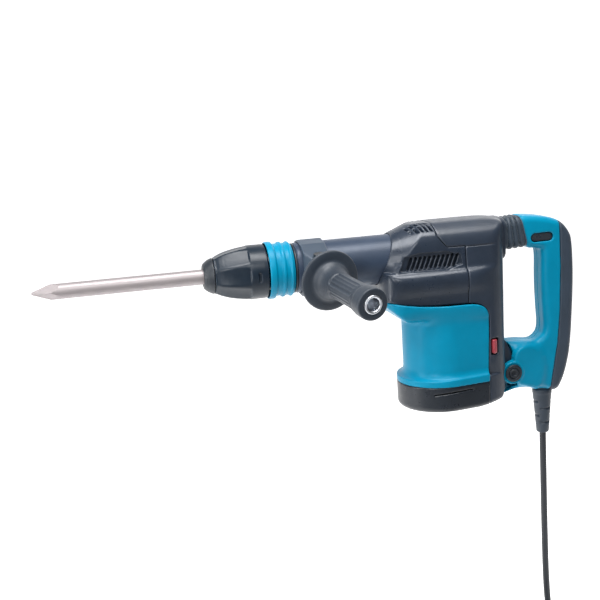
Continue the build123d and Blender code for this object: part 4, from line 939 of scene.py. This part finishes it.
def spring(name, mean_r, wire_r, front, rear, turns, height, body, node):
    """A coil spring of round wire along the barrel, from the middle of its first wire to the last."""
    around, rings = 12, 40 * turns
    turn = np.linspace(0, 2 * math.pi * turns, rings)[:, None]
    section = np.linspace(0, 2 * math.pi, around, endpoint=False)[None, :]
    radius = mean_r + wire_r * np.cos(section)
    x = front + (rear - front) * turn / turn[-1] + wire_r * np.sin(section)
    points = np.stack([x, radius * np.cos(turn), height + radius * np.sin(turn)], -1)
    ends = np.stack([points[0].mean(0), points[-1].mean(0)])
    ring, side = np.meshgrid(np.arange(rings - 1), np.arange(around), indexing="ij")
    first, after = ring * around + side, ring * around + (side + 1) % around
    quads = np.stack([first, first + around, after + around, after], -1).reshape(-1, 4)
    last, count = (rings - 1) * around, rings * around
    caps = []
    for k in range(0, around, 2):
        caps.append((count, k, (k + 1) % around, (k + 2) % around))
        caps.append((count + 1, last + (k + 2) % around, last + (k + 1) % around, last + k))
    return mesh_piece(name, np.concatenate([points.reshape(-1, 3), ends]), np.concatenate([quads, caps]),
                      "spring_steel", body, [node])


def springs():
    """The springs behind the sliding sleeve and inside the bellows."""
    cover_spring = spring("cover_coil_spring", 22.5, 1.0, -65.5, -36.8, 5, 0, "holder", "release_spring")
    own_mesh(cover_spring)
    handle_spring = spring("handle_coil_spring", 9.0, 1.3, 253.8, 286.9, 5, 17, "housing", "damper_spring")
    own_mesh(handle_spring)


springs()
release_cover()
turned_piece("dust_cap", DUST_CAP, "black_rubber", "holder", ["nose_cap"])
turned_piece("angle_ring", ANGLE_RING, "teal_plastic", "change_ring", ["change_ring"], cuts=2)
turned_piece("seal_ring", SEAL_RING, "black_rubber", "housing", ["barrel_seal"])


# ------------ side handle
SWING = math.radians(7.0)
TILT = math.radians(11.5)
TILT_X, TILT_R = 14.9, 42.0


def tilted(points):
    """Moves points drawn along X from the tilt pivot to the side handle's rest place."""
    reach, u, v = points[:, 0], points[:, 1], points[:, 2]
    x = u * math.cos(TILT) + reach * math.sin(TILT) + TILT_X
    y = u * math.sin(TILT) - reach * math.cos(TILT) - TILT_R
    c, s = math.cos(SWING), math.sin(SWING)
    return np.stack([x, y * c - v * s, y * s + v * c], -1)


def grip_shape(along, radius, angle):
    """Four framed panels with ribs along the grip, and grooves in the collar."""
    outside = (radius > 13.2) & (along > 40)
    result = radius.copy()
    for k in range(4):
        offset = (angle - math.radians(38 + 90 * k) + math.pi) % (2 * math.pi) - math.pi
        arc = offset * 16.0
        panel = oblong(along, arc, 78.0, 0, 27.0, 9.2, 3.5)
        sunk = np.clip(0.5 - panel / 1.2, 0, 1)
        frame_line = np.exp(-(panel / 0.75) ** 2)
        ribs = 0.5 + 0.5 * np.cos(2 * math.pi * arc / 4.6)
        ribs = ribs ** 2 * np.clip(0.5 - (panel + 2.2) / 1.0, 0, 1)
        result = result - 0.95 * sunk + 0.85 * frame_line + 0.75 * ribs
    for groove in (108.6, 110.8):
        result = result - 0.5 * np.exp(-((along - groove) / 0.6) ** 2)
    return np.where(outside, result, radius)


def side_grip():
    """Soft grip with its hand guard and end collar."""
    outer = [(23.4, 10.8), (22.7, 16), (22.6, 33.4), (23.2, 35.0), (24.6, 35.6), (26.2, 35.0), (27.2, 33.4),
             (28.2, 29.0), (28.6, 25.0), (29.8, 22.8), (31.2, 21.8), (34.0, 19.4), (39.0, 17.4),
             (46.0, 16.0), (60.0, 15.5), (96.0, 15.6), (106.0, 16.3), (112.0, 17.6), (114.0, 18.2),
             (126.2, 18.2), (127.6, 17.3), (128.0, 16.0), (128.0, 11.6), (127.4, 10.8)]
    points, quads = lathe(spaced(rounded(outer, 1), 0.8), 176, grip_shape)
    mesh_piece("side_grip_rubber", tilted(points), quads, "grip_rubber", "side_grip", ["side_grip"])


def steel_tube():
    """Bright tube inside the grip, open at the end."""
    profile = [(23.2, 7.4), (23.2, 10.6), (127.6, 10.6), (128.6, 10.3), (128.9, 9.6), (128.6, 8.2),
               (127.6, 7.4), (100, 7.4), (100, 0.05), (98, 0.05), (98, 7.4)]
    points, quads = lathe(spaced(np.array(profile), 3.0), 96)
    mesh_piece("side_grip_tube", tilted(points), quads, "bright_steel", "side_grip", ["grip_core"])


def clamp_band():
    """Clamp band: a bevelled block round the barrel with two ears for the knuckle."""
    grid = Grid((-4, -60, -42), (30, 40, 42), 0.9)
    x = grid.x
    y = grid.y * math.cos(SWING) + grid.z * math.sin(SWING)
    z = -grid.y * math.sin(SWING) + grid.z * math.cos(SWING)
    section = [(-54, 18.6), (-41, 21), (-15, 32.0), (4, 33.2), (18, 28.6), (29.5, 16), (33.0, 0),
               (29.5, -16), (18, -28.6), (4, -33.2), (-15, -32.0), (-41, -21), (-54, -18.6)]
    body = extruded(outline(section, y, z), slab(x, -2.2, 27.8), 1.2)
    front = (-2.4 - x) * 0.84 + (-30.0 - y) * 0.55
    body = meet(body, front, 1.0)
    body = overlap(body, 30.25 - np.hypot(y, z))
    knuckle = overlap(disc(x, y, TILT_X, -TILT_R, 15.6), np.abs(z) - 11.0)
    mouth = overlap(y + TILT_R, np.abs(z) - 11.0)
    body = carve(body, union(knuckle, mouth), 0.6)
    body = carve(body, overlap(np.abs(z) - 1.2, slab(y, -37, -20)), 0.4)
    body = overlap(body, 4.1 - np.hypot(x - TILT_X, y + TILT_R))
    body = carve(body, overlap(disc(x, y, TILT_X, -TILT_R, 8.1), 21.0 - z), 0.5)
    body = carve(body, overlap(disc(x, y, TILT_X, -TILT_R, 11.5), z + 21.0), 0.5)
    rib = union(np.abs(y - 2.0), np.abs(y - 12.0)) - 0.6
    body = carve(body, overlap(rib, 36.0 - np.abs(z), slab(x, 6, 23)), 0.5)
    field_piece("side_clamp", body, grid, "clamp_plastic", "side_mount", ["clamp_band"])


side_grip()
steel_tube()
clamp_band()


# ------------ guard and caps
def upright(points, x, y):
    """Moves points drawn along X to a vertical axis, X becoming the height."""
    return np.stack([x + points[:, 1], y + points[:, 2], points[:, 0]], -1)


def guard_shape(along, radius, angle):
    """Slots across the guard's lower half."""
    outside = radius > 5.6
    result = radius
    for k in range(4):
        level = -205.0 - 9.5 * k
        slot = oblong(along, ((angle + math.pi * (k % 2) / 2) % math.pi - math.pi / 2) * radius, level, 0,
                      1.3, 7.5, 1.2)
        result = result - 1.5 * np.clip(0.5 - slot / 0.7, 0, 1)
    return np.where(outside, result, radius)


def cord_guard():
    """Tapered rubber sleeve round the cord where it leaves the handle."""
    profile = [(-184, 4.4), (-184, 10.1), (-188.8, 10.1), (-189.1, 12.5), (-193.6, 12.6), (-196, 12.0),
               (-222, 10.0), (-246, 8.3), (-248, 7.4), (-248, 4.4)]
    points, quads = lathe(spaced(rounded(profile, 1), 0.8), 112, guard_shape)
    mesh_piece("cord_sleeve", upright(points, 310.0, 0.0), quads, "guard_rubber", "rear_handle",
               ["cord_guard"])


def pivot_cap(side):
    """Rubber cap over one end of the pivot pin: broad rim, groove and a raised ring round a deep hole."""
    profile = [(0.1, 0.05), (0.1, 11.0), (1.4, 11.0), (2.2, 10.4), (2.5, 9.0), (2.4, 7.4), (1.0, 6.7),
               (0.9, 6.2), (2.3, 5.8), (2.7, 5.2), (2.7, 4.2), (2.2, 3.5), (0.6, 3.2), (0.6, 0.05)]
    points, quads = lathe(spaced(rounded(profile, 1), 0.5), 72)
    points = np.stack([PIVOT_X + points[:, 1], side * (26.9 + points[:, 0]), PIVOT_Z + points[:, 2]], -1)
    quads = quads if side < 0 else quads[:, ::-1]
    return points, quads


def pivot_caps():
    """Both caps as one piece."""
    left, left_quads = pivot_cap(-1)
    right, right_quads = pivot_cap(1)
    quads = np.concatenate([left_quads, right_quads + len(left)])
    mesh_piece("pivot_rubber_caps", np.concatenate([left, right]), quads, "black_rubber", "rear_handle",
               ["pivot_caps"])


cord_guard()
pivot_caps()


# ------------ stage and light
def make_stage():
    """A pale floor below the hanging cord, which rises behind as a smooth backdrop."""
    floor_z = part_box("cord_coil")[0][2] - 0.0005
    profile = [(-3.0, 0.0), (2.2, 0.0), (2.9, 0.12), (3.4, 0.5), (3.6, 1.1), (3.6, 4.5)]
    profile = rounded(profile, 3, closed=False)
    points = []
    for side in (-5.0, 5.0):
        points += [(side, y, floor_z + z) for y, z in profile]
    n = len(profile)
    faces = [(i, n + i, n + i + 1, i + 1) for i in range(n - 1)]
    mesh = bpy.data.meshes.new("studio_floor")
    mesh.from_pydata(points, [], faces)
    mesh.polygons.foreach_set("use_smooth", np.ones(len(mesh.polygons), bool))
    material, tree, shader, coordinate = new_material("studio_paper")
    fibres = noise_node(tree, coordinate, 0.02, 3.0)
    white = mix_colour(tree, fibres, (0.93, 0.93, 0.93), (0.96, 0.96, 0.96))
    parts = tree.nodes.new("ShaderNodeSeparateXYZ")
    tree.links.new(coordinate, parts.inputs[0])
    near = remap(tree, parts.outputs["Y"], -0.5, -0.05, 1.0, 0.0)
    tree.links.new(mix_colour(tree, near, white, (0.42, 0.42, 0.42)), shader.inputs["Base Color"])
    tree.links.new(mix_colour(tree, near, (1.0, 1.0, 1.0), (0.0, 0.0, 0.0)),
                   shader.inputs["Emission Color"])
    shader.inputs["Roughness"].default_value = 0.9
    shader.inputs["Specular IOR Level"].default_value = 0.1
    shader.inputs["Emission Strength"].default_value = 0.72
    mesh.materials.append(material)
    floor = new_object("studio_floor", mesh)


LAMPS = [("soft_box_top", (60, -350, 1200), (1.3, 0.6), 28.0),
         ("soft_box_front", (-700, -1000, 300), (0.3, 0.8), 7.0),
         ("soft_box_left", (-980, -190, 250), (0.12, 1.2), 7.0),
         ("soft_box_side", (-50, -1400, 900), (0.5, 0.3), 6.0),
         ("soft_box_rear", (900, 500, 700), (0.9, 0.9), 4.0)]


def make_lamp(name, at, aim, size, power):
    """A soft rectangular light."""
    data = bpy.data.lights.new(name, "AREA")
    data.shape = "RECTANGLE"
    data.size, data.size_y = size
    data.energy = power
    lamp = new_object(name, data)
    lamp.location = at
    lamp.rotation_euler = (Vector(aim) - Vector(at)).to_track_quat("-Z", "Y").to_euler()


def make_light():
    """Faint white surroundings and five soft boxes."""
    world = bpy.data.worlds.new("studio")
    world.use_nodes = True
    world.node_tree.nodes["Background"].inputs["Color"].default_value = (1.0, 1.0, 1.0, 1.0)
    world.node_tree.nodes["Background"].inputs["Strength"].default_value = 0.10
    bpy.context.scene.world = world
    bpy.context.scene.view_settings.view_transform = "Standard"
    centre = tuple(place(100, 0, -60))
    for name, at, size, power in LAMPS:
        make_lamp(name, tuple(place(*at)), centre, size, power)


make_stage()
make_light()
